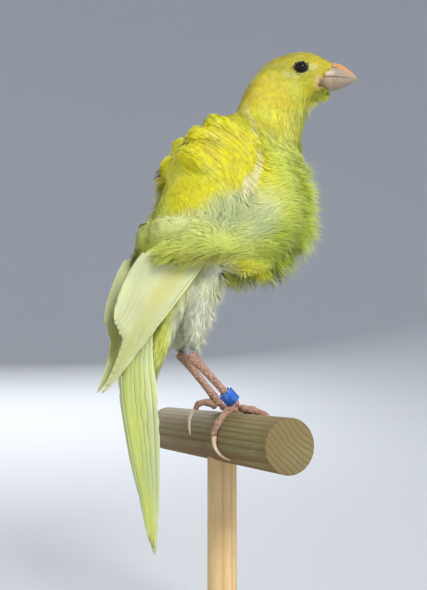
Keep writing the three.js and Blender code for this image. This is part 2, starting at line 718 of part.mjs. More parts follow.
const baseProfile = [
  [0, 0], [BASE_RADIUS, 0], [BASE_RADIUS, BASE_THICKNESS - BASE_EDGE],
  [BASE_RADIUS - BASE_EDGE, BASE_THICKNESS], [0, BASE_THICKNESS],
].map(([x, y]) => new THREE.Vector2(x, y));
const baseShape = new THREE.LatheGeometry(baseProfile, 40);
baseShape.rotateX(Math.PI / 2);

const model = new THREE.Group();
model.add(
  bird,
  named('perch', geometryOf(solidOf(perchShape)), DOWEL, 0.7),
  named('stand_post', geometryOf(largest(post)), PINE, 0.7),
  named('stand_base', baseShape, PINE, 0.6),
);

export default model;
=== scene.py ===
import math

import bmesh
import bpy
import numpy as np
from mathutils import Matrix, Vector
from mathutils.bvhtree import BVHTree


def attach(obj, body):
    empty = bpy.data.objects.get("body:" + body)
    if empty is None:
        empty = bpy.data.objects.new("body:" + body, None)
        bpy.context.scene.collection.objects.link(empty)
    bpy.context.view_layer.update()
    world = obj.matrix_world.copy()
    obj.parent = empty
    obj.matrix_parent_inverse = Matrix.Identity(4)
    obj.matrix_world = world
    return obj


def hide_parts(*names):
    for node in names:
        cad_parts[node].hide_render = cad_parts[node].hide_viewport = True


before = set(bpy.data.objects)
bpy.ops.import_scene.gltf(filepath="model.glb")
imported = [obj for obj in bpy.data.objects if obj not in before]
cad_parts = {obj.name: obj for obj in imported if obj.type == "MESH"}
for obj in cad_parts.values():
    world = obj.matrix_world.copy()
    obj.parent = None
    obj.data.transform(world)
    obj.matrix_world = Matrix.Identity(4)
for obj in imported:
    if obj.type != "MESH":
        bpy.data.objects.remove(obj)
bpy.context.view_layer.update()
MM = 0.001

# Studio. A plain pale floor that curves up far from the stand, a soft key lamp high on the
# viewer's side, a broad fill from either side and a lamp behind. The lens, distance and upward
# tilt of the view are the photograph's own.
CAMERA_AT = (-0.10596, -0.21703, 0.0816)
CAMERA_TURN = (math.radians(96.23), 0, math.radians(-25.4))
CAMERA_LENS = 46.98
FLOOR_RADIUS = 0.45
FLOOR_RISE = 1.7
FLOOR_HEIGHT = 2.2
FLOOR_STEPS = 96
FLOOR_FADE = 2.2
FLOOR_NEAR = (0.56, 0.58, 0.61, 1)
FLOOR_FAR = (0.70, 0.73, 0.78, 1)
ROOM_COLOUR = (0.86, 0.90, 0.96, 1)
ROOM_STRENGTH = 0.36
LAMP_AIM = (0, 0, 0.13)
# Each lamp: its name, place and size in metres, and its power in watts.
LAMPS = (
    ("key_lamp", (0.05, -0.80, 0.60), 0.30, 7.6),
    ("fill_lamp", (-0.85, -0.30, 0.25), 0.8, 3.0),
    ("front_lamp", (0.75, -0.35, 0.30), 0.8, 2.2),
    ("back_lamp", (0.1, 0.8, 0.55), 0.6, 5.5),
)

bpy.context.scene.view_settings.view_transform = "Standard"

camera_data = bpy.data.cameras.new("camera")
camera_data.lens = CAMERA_LENS
camera_data.clip_start = 0.01
camera = bpy.data.objects.new("camera", camera_data)
camera.location = CAMERA_AT
camera.rotation_euler = CAMERA_TURN
bpy.context.scene.collection.objects.link(camera)
bpy.context.scene.camera = camera

for name, place, size, power in LAMPS:
    data = bpy.data.lights.new(name, "AREA")
    data.size = size
    data.energy = power
    lamp = bpy.data.objects.new(name, data)
    lamp.location = place
    lamp.rotation_euler = (Vector(LAMP_AIM) - Vector(place)).to_track_quat("-Z", "Y").to_euler()
    bpy.context.scene.collection.objects.link(lamp)

room = bpy.data.worlds.new("room")
room.use_nodes = True
background = room.node_tree.nodes["Background"].inputs
background["Color"].default_value = ROOM_COLOUR
background["Strength"].default_value = ROOM_STRENGTH
bpy.context.scene.world = room


def new_object(name, mesh):
    made = bpy.data.objects.new(name, mesh)
    bpy.context.scene.collection.objects.link(made)
    return made


def spun(bm, steps, axis):
    """Spins all of an open outline once round an axis through the origin."""
    bmesh.ops.spin(
        bm, geom=bm.verts[:] + bm.edges[:], angle=2 * math.pi, steps=steps, axis=axis,
        cent=(0, 0, 0), use_merge=True,
    )


def turned_profile(profile, steps):
    """A bmesh turned about Z from spots of radius and height."""
    bm = bmesh.new()
    verts = [bm.verts.new((radius, 0, height)) for radius, height in profile]
    for first, second in zip(verts, verts[1:]):
        bm.edges.new((first, second))
    spun(bm, steps, (0, 0, 1))
    return bm


floor_mesh = bpy.data.meshes.new("floor")
profile = [(0, 0), (FLOOR_RADIUS, 0)]
for turn in np.linspace(0, math.pi / 2, 17)[1:]:
    profile.append((FLOOR_RADIUS + FLOOR_RISE * math.sin(turn), FLOOR_RISE * (1 - math.cos(turn))))
profile.append((FLOOR_RADIUS + FLOOR_RISE, FLOOR_HEIGHT))
bm = turned_profile(profile, FLOOR_STEPS)
bmesh.ops.remove_doubles(bm, verts=bm.verts, dist=1e-5)
bmesh.ops.recalc_face_normals(bm, faces=bm.faces)
bmesh.ops.reverse_faces(bm, faces=[face for face in bm.faces if bm.faces[0].normal.z < 0])
bm.to_mesh(floor_mesh)
bm.free()
floor_mesh.shade_smooth()
floor = new_object("floor", floor_mesh)


class Socket:
    """A number in a material; arithmetic on it adds Math nodes."""

    def __init__(self, finish, link):
        self.finish = finish
        self.link = link

    def math(self, operation, first, second):
        return self.finish.node("ShaderNodeMath", {"operation": operation}, {0: first, 1: second})

    def __add__(self, other):
        return self.math("ADD", self, other)

    def __sub__(self, other):
        return self.math("SUBTRACT", self, other)

    def __mul__(self, other):
        return self.math("MULTIPLY", self, other)

    def __rsub__(self, other):
        return self.math("SUBTRACT", other, self)

    __radd__ = __add__
    __rmul__ = __mul__


class Finish:
    """A material in the making: constants go on its shader, the rest comes from nodes."""

    def __init__(self, name, **constants):
        self.material = bpy.data.materials.new(name)
        self.material.use_nodes = True
        self.tree = self.material.node_tree
        self.shader = self.tree.nodes["Principled BSDF"]
        for socket, value in constants.items():
            self.shader.inputs[socket.replace("_", " ")].default_value = value

    def node(self, kind, settings=None, sockets=None, out=0):
        made = self.tree.nodes.new(kind)
        for setting, value in (settings or {}).items():
            setattr(made, setting, value)
        for socket, value in (sockets or {}).items():
            if isinstance(value, Socket):
                self.tree.links.new(value.link, made.inputs[socket])
            else:
                made.inputs[socket].default_value = value
        return Socket(self, made.outputs[out])

    def feed(self, socket, value):
        self.tree.links.new(value.link, self.shader.inputs[socket])

    def place(self):
        return self.node("ShaderNodeTexCoord", out="Object")

    def vector(self, operation, first, second=(0, 0, 0), out=0):
        return self.node(
            "ShaderNodeVectorMath", {"operation": operation}, {0: first, 1: second}, out
        )

    def framed(self, place, **frame_sockets):
        """Coordinates in a frame of their own, given by its Location, Rotation and Scale."""
        return self.node(
            "ShaderNodeMapping", {"vector_type": "TEXTURE"}, {"Vector": place, **frame_sockets}
        )

    def along(self, place, axis):
        """One of a vector's numbers: axis 0, 1 or 2."""
        return self.node("ShaderNodeSeparateXYZ", {}, {0: place}, axis)

    def folded(self, place):
        """Coordinates that mirror the bird's left side onto its right, by the size of their y."""
        size_of_y = self.vector("MULTIPLY", self.vector("ABSOLUTE", place), (0, 1, 0))
        return self.vector("ADD", self.vector("MULTIPLY", place, (1, 0, 1)), size_of_y)

    def attribute(self, name):
        return self.node("ShaderNodeAttribute", {"attribute_name": name}, out="Fac")

    def noise(self, place, scale, detail=3.0, stretch=(1, 1, 1), out="Fac"):
        place = self.node(
            "ShaderNodeMapping", {"vector_type": "POINT"}, {"Vector": place, "Scale": stretch}
        )
        return self.node(
            "ShaderNodeTexNoise", {}, {"Vector": place, "Scale": scale, "Detail": detail}, out
        )

    def between(self, value, low, high, to_low=0.0, to_high=1.0):
        return self.node(
            "ShaderNodeMapRange",
            {"interpolation_type": "SMOOTHSTEP"},
            {"Value": value, 1: low, 2: high, 3: to_low, 4: to_high},
        )

    def mix(self, mask, first, second, way="MIX"):
        return self.node(
            "ShaderNodeMix", {"data_type": "RGBA", "blend_type": way},
            {0: mask, 6: first, 7: second}, 2,
        )

    def bump(self, height, distance, strength=1.0):
        return self.node(
            "ShaderNodeBump", {}, {"Height": height, "Distance": distance, "Strength": strength}
        )


floor_finish = Finish("floor", Roughness=0.8)
floor_place = floor_finish.place()
away = floor_finish.vector("LENGTH", floor_place, out="Value")
floor_finish.feed("Base Color", floor_finish.mix(
    floor_finish.between(away, 0.0, FLOOR_FADE), FLOOR_NEAR, FLOOR_FAR
))
floor.data.materials.append(floor_finish.material)

# Skin. One closed skin under all the small feathers, from the bill's root to the heels. It lies
# inside the plumage by the depth of the feathers, is swelled where the frills stand, and bears
# the coat.
BIRD_AT = Vector((0, -3.5, 64))
HEAD_AT = Vector((27.2, -1.4, 119.0))
HEAD_TURN = math.radians(-28)
SKIN_VOXEL = 0.9
SKIN_SOFTENING = 8
EYE_AT = (-0.4, 6.4, -0.3)
# The bed of each eye: its radius, how far its floor lies past the eye's middle, and its flare.
EYE_BED_RADIUS = 3.6
EYE_BED_DEPTH = 0.35
EYE_BED_FLARE = 0.75
# The face ends at a slant, from the bill's ridge back to the corner of the mouth: its x at z = 0,
# how much further forward it is for each millimetre of z, and how low and high the slant goes.
FACE_AT = 9.2
FACE_SLANT = 0.8
FACE_LOW = -6
FACE_HIGH = 5

# Sections: x, y and z of a middle, then the reach in front of it and behind it and half the width.
HEAD_SECTIONS = [
    (12.8, 0, 0.6, 2.4, 2.0, 2.4),
    (10.6, 0, -0.3, 4.4, 4.4, 4.2),
    (6.6, 0, -0.9, 6.9, 6.7, 6.0),
    (1.6, 0, -1.2, 8.7, 9.0, 7.4),
    (-3.6, 0, -2.0, 8.7, 9.2, 7.6),
    (-9.0, 0, -3.6, 7.6, 8.2, 7.0),
    (-13.6, 0, -6.4, 5.2, 5.2, 5.2),
]
NECK_SECTIONS = [
    (24.0, -0.8, 118.5, 5.6, 8.6, 6.2),
    (21.3, -0.4, 112, 8.6, 11.4, 7.4),
    (18.6, -0.2, 106, 10.2, 12.4, 8.2),
    (16.6, 0, 100, 10.0, 12.8, 9.2),
    (15.2, 0, 94, 10.2, 13.6, 10.8),
    (14.2, 0, 88, 10.6, 14.4, 12.6),
    (13, 0, 82, 11.2, 14.4, 13.4),
]
TRUNK_SECTIONS = [
    (15, 0, 98, 7, 8, 7),
    (11, 0, 90, 11, 12, 11),
    (7, 0, 81, 14, 15, 13),
    (2, 0, 71, 15, 15, 13.5),
    (-6.5, 0, 60, 11.5, 12, 11),
    (-14, 0, 50, 7.5, 8, 9),
    (-19, 0, 40, 5, 6, 7),
    (-25, 0, 31, 4, 4, 6),
]
# Sections of the frills: height, reach in front of the axis and behind it, and half the width.
FRILL_AXIS_X = 5
FRILL_SECTIONS = [
    (102, 8, 6, 5),
    (97, 15.5, 14, 11),
    (91, 16.5, 21.5, 15.5),
    (84, 18.5, 26, 18.5),
    (76, 21, 28, 20.5),
    (68, 21.5, 31.5, 21.5),
    (61, 18.5, 33, 20.5),
    (56, 14, 34, 18),
    (53, 8, 32, 14),
    (51.5, 2, 22, 8),
]
# How much of the frills' girth is solid.
FRILL_BED = 0.9
THIGH_SECTIONS = [
    (-7.4, 7, 55, 3.2, 6.0, 4.6),
    (-9.8, 6.6, 47, 3.0, 5.2, 4.2),
    (-12.4, 6.2, 36, 1.8, 3.2, 2.6),
    (-13.8, 5.8, 26, 1.1, 1.5, 1.3),
]
VENT_SECTIONS = [
    (-17, 0, 42, 3.4, 3.4, 5.2),
    (-22, 0, 30, 3.2, 3.0, 5.2),
    (-25.2, 0, 21, 2.0, 2.0, 3.8),
    (-26.6, 0, 12, 1.0, 0.9, 2.2),
]
# Lumps of the cape beside the middle of the back: x, y outwards, z and thickness.
CAPE_ROLLS = (
    [(-7.6, 2.5, 95.6, 3.1), (-7.2, 6.6, 95.4, 3.3), (-4.4, 10.4, 93.0, 2.2), (-1, 12.0, 90, 1.2)],
    [(-13.2, 1.5, 90.6, 3.4), (-12.8, 6.5, 90.2, 3.6), (-9.8, 10.6, 87.6, 2.6),
     (-7, 12.6, 84, 1.4)],
    [(-17, 2, 84, 3.4), (-16.2, 7.6, 84, 3.6), (-13.2, 11.6, 81, 2.8), (-11, 13.4, 77, 1.6)],
)
# The belt of flank feathers that laps over the roots of the wings: x, y and z of a middle, then
# the reach up, down and out.
FLANK_BELT = [
    (5, 13, 55.8, 4.0, 2.4, 2.2),
    (-6, 15.4, 56.6, 7.0, 4.4, 2.6),
    (-14, 15.4, 57.2, 6.8, 5.0, 2.8),
    (-21.8, 13.0, 57.4, 7.2, 5.2, 2.2),
    (-25.2, 8.0, 57.8, 7.2, 5.0, 1.9),
    (-25.8, 1.0, 58.4, 7.2, 4.8, 1.8),
    (-24.2, -6, 59, 6.4, 4.2, 1.8),
]
# The lobe that hangs in front of each thigh.
BELLY_LOBE = [
    (-10, 12, 53.6, 3, 1.4, 1.8),
    (-4, 11.5, 52.0, 4, 2.6, 3.4),
    (2, 10.5, 51.8, 4, 2.8, 3.8),
    (8, 9.5, 53.0, 4, 2.4, 3.4),
    (14, 8, 56.0, 3, 1.4, 1.8),
]
HEAD_PLACE = Matrix.Translation(HEAD_AT) @ Matrix.Rotation(HEAD_TURN, 4, "Z")


def along_rows(rows, t):
    """A smooth curve through evenly spaced rows of numbers, at t from 0 to 1; t may be an array."""
    rows = np.array(rows, float)
    rows = np.vstack([2 * rows[0] - rows[1], rows, 2 * rows[-1] - rows[-2]])
    spot = np.clip(np.asarray(t, float), 0, 1) * (len(rows) - 3)
    index = np.minimum(spot.astype(int), len(rows) - 4)
    u = (spot - index)[..., None]
    a, b, c, d = (rows[index + step] for step in range(4))
    bend, twist = 2 * a - 5 * b + 4 * c - d, 3 * b - a - 3 * c + d
    return 0.5 * (2 * b + (c - a) * u + bend * u**2 + twist * u**3)


def sweep(bm, sections, facing=(1, 0, 0), sides=24, rings=20, ends=0.12, place=None):
    """Adds a closed body along sections of x, y, z, reach in front, reach behind and half width."""
    facing = Vector(facing)
    made = bmesh.ops.create_uvsphere(bm, u_segments=sides, v_segments=rings, radius=1)["verts"]
    for vert in made:
        t = math.acos(max(-1, min(1, -vert.co.z))) / math.pi
        around = Vector((vert.co.x, vert.co.y))
        around = around.normalized() if around.length > 1e-6 else around
        x, y, z, front, behind, half = along_rows(sections, t)
        before, after = (Vector(along_rows(sections, t + step)[:3]) for step in (-0.01, 0.01))
        way = (after - before).normalized()
        out = (facing - way * facing.dot(way)).normalized()
        across = way.cross(out)
        start, end = min(1, t / ends), min(1, (1 - t) / ends)
        round_off = math.sqrt(max(0, 1 - (1 - start) ** 2)) * math.sqrt(max(0, 1 - (1 - end) ** 2))
        reach = (front if around.x > 0 else behind) * around.x * round_off
        vert.co = Vector((x, y, z)) + out * reach + across * around.y * half * round_off
    if place is not None:
        bmesh.ops.transform(bm, matrix=place, verts=made)
    return made


def mirrored(side, sections):
    """Sections of the bird's left side, moved to the side that is asked for: 1 left, -1 right."""
    return [(x, side * y, z, *rest) for x, y, z, *rest in sections]


def closed_skin(name, bm, voxel, softening):
    """Turns overlapping bodies in the bird's millimetres into one smooth closed skin."""
    mesh = bpy.data.meshes.new(name)
    bmesh.ops.scale(bm, vec=(MM, MM, MM), verts=bm.verts)
    bmesh.ops.translate(bm, vec=BIRD_AT * MM, verts=bm.verts)
    bm.to_mesh(mesh)
    bm.free()
    rough = new_object("rough", mesh)
    remesh = rough.modifiers.new("close", "REMESH")
    remesh.mode = "VOXEL"
    remesh.voxel_size = voxel * MM
    smooth = rough.modifiers.new("smooth", "SMOOTH")
    smooth.factor = 0.5
    smooth.iterations = softening
    bpy.context.view_layer.update()
    closed = rough.evaluated_get(bpy.context.evaluated_depsgraph_get())
    made = new_object(name, bpy.data.meshes.new_from_object(closed))
    bpy.data.objects.remove(rough)
    return made


bm = bmesh.new()
sweep(bm, HEAD_SECTIONS, facing=(0, 0, 1), sides=32, rings=28, ends=0.14, place=HEAD_PLACE)
sweep(bm, NECK_SECTIONS, ends=0.1)
sweep(bm, TRUNK_SECTIONS)
sweep(bm, [
    (FRILL_AXIS_X, 0, z, front * FRILL_BED, behind * FRILL_BED, half * FRILL_BED)
    for z, front, behind, half in FRILL_SECTIONS
], sides=36, rings=30, ends=0.06)
sweep(bm, VENT_SECTIONS)
for side in (-1, 1):
    sweep(bm, mirrored(side, THIGH_SECTIONS))
    sweep(bm, mirrored(side, FLANK_BELT), facing=(0, 0, 1), sides=16, ends=0.2)
    sweep(bm, mirrored(side, BELLY_LOBE), facing=(0, 0, 1), sides=16, ends=0.2)
    for roll in CAPE_ROLLS:
        round_roll = [(x, side * y, z, radius, radius, radius) for x, y, z, radius in roll]
        sweep(bm, round_roll, facing=(0, 0, 1), sides=12, rings=12, ends=0.3)
skin = closed_skin("skin", bm, SKIN_VOXEL, SKIN_SOFTENING)

for vert in skin.data.vertices:
    local = HEAD_PLACE.inverted() @ (vert.co / MM - BIRD_AT)
    off_axis = math.hypot(local.x - EYE_AT[0], local.z - EYE_AT[2])
    if off_axis < EYE_BED_RADIUS and abs(local.y) > 3:
        bed = EYE_AT[1] + EYE_BED_DEPTH + EYE_BED_FLARE * (off_axis / EYE_BED_RADIUS) ** 2
        local.y = math.copysign(min(abs(local.y), bed), local.y)
        vert.co = (HEAD_PLACE @ local + BIRD_AT) * MM
    face = FACE_AT + FACE_SLANT * local.z
    if local.x > face and FACE_LOW < local.z < FACE_HIGH:
        local.x = face + 0.1 * (local.x - face)
        vert.co = (HEAD_PLACE @ local + BIRD_AT) * MM
skin.data.shade_smooth()

bpy.context.view_layer.objects.active = skin
skin.select_set(True)
bpy.ops.object.mode_set(mode="EDIT")
bpy.ops.mesh.select_all(action="SELECT")
bpy.ops.uv.smart_project(angle_limit=math.radians(66), island_margin=0.003)
bpy.ops.object.mode_set(mode="OBJECT")
skin.select_set(False)
skin.data.uv_layers[0].name = "OFBake"
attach(skin, "root")
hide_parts("head", "neck", "torso")

# Lie of the plumage. Each arrow says which way the feathers run at one spot of either side, how
# long they are, how far they stand off at the root and how their tips curl. The feathers between
# arrows run smoothly from one to the next.


def head_spot(side, x, y, z):
    return HEAD_PLACE @ Vector((x, side * y, z))


def body_spot(side, x, y, z):
    return (x, side * y, z)


def on_frill(side, level, angle):
    """A spot on the frills: level 0 to 9 from the nape down, angle 0 in front to 180 behind."""
    height, front, behind, half = along_rows(FRILL_SECTIONS, level / 9)
    turn = math.radians(angle)
    deep = math.cos(turn)
    return Vector((
        FRILL_AXIS_X + deep * (front if deep > 0 else behind), side * math.sin(turn) * half, height,
    ))


def arrows(spot_of, *rows):
    """Arrows on both sides of the bird, from rows of start, end, length, lift and curl."""
    made = []
    for start, end, length, lift, curl in rows:
        for side in (-1, 1):
            root, tip = spot_of(side, *start), spot_of(side, *end)
            way = (Vector(tip) - Vector(root)).normalized()
            made.append((*root, *way, length, lift, curl))
    return made


LIE = np.array([
    *arrows(
        head_spot,
        # Head: back from the bill over crown and cheek, and down to the neck.
        ((9, 2, 5), (4, 2, 8), 2.2, 0.10, 0),
        ((3, 3, 8), (-4, 3, 8), 2.8, 0.08, 0),
        ((-6, 3, 7), (-11, 3, 3), 3.2, 0.10, 0),
        ((8, 5, 0), (2, 7, 0), 2.0, 0.10, 0),
        ((1, 8, -3), (-5, 8, -4), 2.6, 0.10, 0),
        ((7, 3, -6), (1, 4, -9), 2.6, 0.14, 0),
        ((-4, 8, 1), (-9, 7, -3), 3.0, 0.10, 0),
        ((-10, 5, -5), (-12, 5, -11), 3.6, 0.10, 0),
    ),
    *arrows(
        body_spot,
        # Neck: down to the shoulders and the breast.
        ((11, 4, 109), (6, 5, 102), 4.0, 0.10, 0),
        ((22, 9, 104), (20, 10, 97), 4.5, 0.10, 0),
        ((30, 4, 106), (28.5, 4, 98), 4.5, 0.12, 0),
        ((15, 12, 97), (13, 13, 90), 5.0, 0.12, 0),
        ((27, 7, 95), (28, 9, 88), 5.0, 0.14, 0),
        ((20, 12, 92), (19, 14, 86), 5.0, 0.12, 0),
        ((24, 8, 91), (24.5, 9, 85), 6.0, 0.12, 0),
        ((25, 3, 91), (25.5, 3, 85), 6.5, 0.14, 0),
    ),
    *arrows(
        on_frill,
        # Cape: parted along the back, out to both sides and down round the shoulder.
        ((1.0, 174), (1.1, 150), 8.0, 0.42, -0.30),
        ((2.0, 174), (2.1, 150), 8.5, 0.44, -0.32),
        ((3.0, 174), (3.2, 150), 9.0, 0.44, -0.32),
        ((4.0, 174), (4.4, 152), 9.0, 0.40, -0.30),
        ((5.2, 174), (5.9, 158), 9.0, 0.36, -0.26),
        ((1.5, 138), (1.9, 116), 8.0, 0.20, -0.12),
        ((2.5, 138), (3.0, 116), 8.5, 0.20, -0.12),
        ((3.5, 138), (4.3, 118), 8.5, 0.20, -0.12),
        ((4.6, 140), (5.6, 128), 8.5, 0.20, -0.10),
        ((5.4, 142), (6.6, 134), 8.5, 0.18, -0.08),
        ((2.2, 112), (3.2, 100), 7.0, 0.16, -0.08),
        ((3.4, 112), (4.6, 104), 7.5, 0.16, -0.08),
        ((4.6, 114), (5.8, 110), 7.5, 0.18, -0.06),
        # Flank: a fan from under the wing, forwards and up the side of the breast.
        ((7.0, 112), (6.0, 88), 9.0, 0.14, 0),
        ((6.1, 102), (5.0, 80), 9.0, 0.14, 0),
        ((5.2, 92), (4.1, 72), 8.5, 0.14, 0),
        ((7.7, 100), (7.3, 74), 9.0, 0.12, 0),
        ((4.2, 82), (3.6, 62), 8.0, 0.14, 0),
        ((3.4, 74), (3.3, 54), 7.0, 0.14, 0),
        ((5.6, 68), (5.2, 46), 9.0, 0.18, 0.06),
        ((6.6, 68), (6.5, 44), 9.0, 0.18, 0.06),
        ((7.5, 72), (7.7, 44), 9.0, 0.14, 0),
        # Flank: backwards in a band over the root of the wing.
        ((7.2, 128), (6.9, 148), 9.0, 0.10, -0.04),
        ((7.0, 148), (6.9, 170), 9.0, 0.10, -0.04),
        ((6.4, 126), (6.2, 146), 8.0, 0.12, -0.04),
        ((8.3, 110), (8.2, 84), 8.0, 0.10, 0),
        # Breast: from both sides to the middle, standing forward with frayed tips.
        ((2.6, 44), (2.9, 18), 7.0, 0.24, 0.10),
        ((3.5, 44), (3.8, 18), 8.5, 0.34, 0.12),
        ((4.5, 44), (4.7, 18), 9.0, 0.38, 0.12),
        ((5.5, 44), (5.8, 18), 9.0, 0.38, 0.12),
        ((6.5, 44), (7.0, 22), 9.0, 0.34, 0.08),
        ((7.4, 44), (8.2, 34), 9.0, 0.28, 0),
        ((3.0, 6), (4.0, 4), 8.0, 0.40, 0.16),
        ((5.0, 6), (6.0, 4), 9.0, 0.46, 0.12),
        ((7.0, 6), (8.2, 6), 9.0, 0.34, 0.0),
    ),
    *arrows(
        body_spot,
        # Rump, vent and thighs: down and back.
        ((-20, 4, 50), (-26, 4, 40), 7.0, 0.12, 0),
        ((-27, 3, 36), (-30, 3, 28), 7.0, 0.10, 0),
        ((-20, 4, 30), (-23, 4, 20), 8.0, 0.10, 0),
        ((-5, 9, 46), (-7, 10, 38), 5.5, 0.20, 0),
        ((-10, 10, 38), (-12, 9, 30), 5.0, 0.22, 0),
        ((-14, 7, 32), (-15, 7, 24), 4.5, 0.22, 0),
    ),
])
# How wide a tuft is at its root, as a share of its full width.
TUFT_PINCH = 0.5
# How much of the skin's unwrap one tuft takes its own colour from, across and along.
TUFT_PATCH = (0.0015, 0.003)
# No barb crosses this circle round the middle of an eye.
EYE_CLEAR = 2.45
skin_tree = BVHTree.FromObject(skin, bpy.context.evaluated_depsgraph_get())
chance = np.random.default_rng(20)


def lie_at(places, normals):
    """The way that feathers run at places in metres, laid on the skin, and their shape there.

    Each arrow counts for less the further off it is, by a power of the gap.
    """
    spots = places / MM - np.array(BIRD_AT)
    gaps = np.linalg.norm(spots[:, None] - LIE[None, :, :3], axis=2)
    weights = 1 / (gaps**3.5 + 0.5)
    weights /= weights.sum(1, keepdims=True)
    ways = weights @ LIE[:, 3:6]
    ways -= normals * (ways * normals).sum(1, keepdims=True)
    ways /= np.linalg.norm(ways, axis=1, keepdims=True) + 1e-9
    return ways, weights @ LIE[:, 6:]


def settle(places):
    """The nearest spots of the skin and the skin's outward direction there."""
    found = [skin_tree.find_nearest(Vector(place)) for place in places]
    return np.array([hit[0] for hit in found]), np.array([hit[1] for hit in found])


skin.data.calc_loop_triangles()
corner_index = np.array([triangle.loops[:] for triangle in skin.data.loop_triangles])
vertex_index = np.array([triangle.vertices[:] for triangle in skin.data.loop_triangles])
skin_spots = np.array([vertex.co[:] for vertex in skin.data.vertices])
skin_uv = np.zeros(2 * len(skin.data.loops))
skin.data.uv_layers["OFBake"].data.foreach_get("uv", skin_uv)
skin_uv = skin_uv.reshape(-1, 2)


def sown(count, belongs):
    """Roots spread evenly over the part of the skin where belongs is true, with their unwrap."""
    corners = skin_spots[vertex_index]
    middles = corners.mean(1) / MM - np.array(BIRD_AT)
    across, down = corners[:, 1] - corners[:, 0], corners[:, 2] - corners[:, 0]
    areas = np.linalg.norm(np.cross(across, down), axis=1) * belongs(middles)
    picks = chance.choice(len(areas), count, p=areas / areas.sum())
    shares = chance.dirichlet((1, 1, 1), count)
    places = (corners[picks] * shares[..., None]).sum(1)
    patches = (skin_uv[corner_index[picks]] * shares[..., None]).sum(1)
    return places, patches


def feather_tufts(name, roots, barbs, steps=2, width=1.5, stand=1.0, **barbing):
    """Small feathers, each a flat tuft of barbs that follows the lie of the coat."""
    places, patches = roots
    count = len(places)
    line, normals = settle(places)
    ways, shape = lie_at(line, normals)
    lengths = shape[:, 0] * MM * chance.uniform(0.75, 1.2, count)
    lifts = shape[:, 1] * stand * chance.uniform(0.6, 1.4, count)
    curls = shape[:, 2]
    widths = width * MM * chance.uniform(0.8, 1.2, count)
    lines, outs, sides = [line], [normals], [np.cross(normals, ways)]
    for _ in range(steps):
        line, normals = settle(line + ways * (lengths / steps)[:, None])
        ways, _ = lie_at(line, normals)
        lines.append(line)
        outs.append(normals)
        sides.append(np.cross(normals, ways))
    shape = (lengths, lifts, curls, widths)
    return barb_mesh(name, lines, outs, sides, shape, patches, barbs, **barbing)


def fringe(
    name, rows, count, barbs, jitter=1.2, steps=3, width=1.6, droop=0.1, sides=(-1, 1), **barbing
):
    """Longer feathers that stand free of the skin, rooted along a line of spots on either side."""
    rows = np.array(rows, float)
    along = chance.uniform(0, 1, count)
    row = along_rows(rows, along)
    turn = np.where(chance.uniform(0, 1, count) < 0.5, sides[0], sides[-1])
    row[:, [1, 4]] *= turn[:, None]
    spots = (row[:, :3] + chance.normal(0, jitter, (count, 3)) + np.array(BIRD_AT)) * MM
    found = [skin_tree.find_nearest(Vector(spot)) for spot in spots]
    places = np.array([hit[0] for hit in found])
    normals = np.array([hit[1] for hit in found])
    patches = skin_uv[[skin.data.polygons[hit[2]].loop_start for hit in found]]
    ways = row[:, 3:6] + chance.normal(0, 0.12, (count, 3))
    ways /= np.linalg.norm(ways, axis=1, keepdims=True)
    lengths = row[:, 6] * MM * chance.uniform(0.7, 1.2, count)
    outs = normals - ways * (normals * ways).sum(1, keepdims=True)
    outs /= np.linalg.norm(outs, axis=1, keepdims=True) + 1e-9
    down = np.array([0, 0, -1.0])
    lines = []
    for step in range(steps + 1):
        t = step / steps
        fall = down * (lengths * droop * t**2)[:, None]
        lines.append(places + ways * (lengths * t)[:, None] + fall)
    flat = [outs] * (steps + 1)
    across = [np.cross(outs, ways)] * (steps + 1)
    widths = width * MM * chance.uniform(0.8, 1.2, count)
    shape = (lengths, np.zeros(count), np.zeros(count), widths)
    return barb_mesh(name, lines, flat, across, shape, patches, barbs, **barbing)


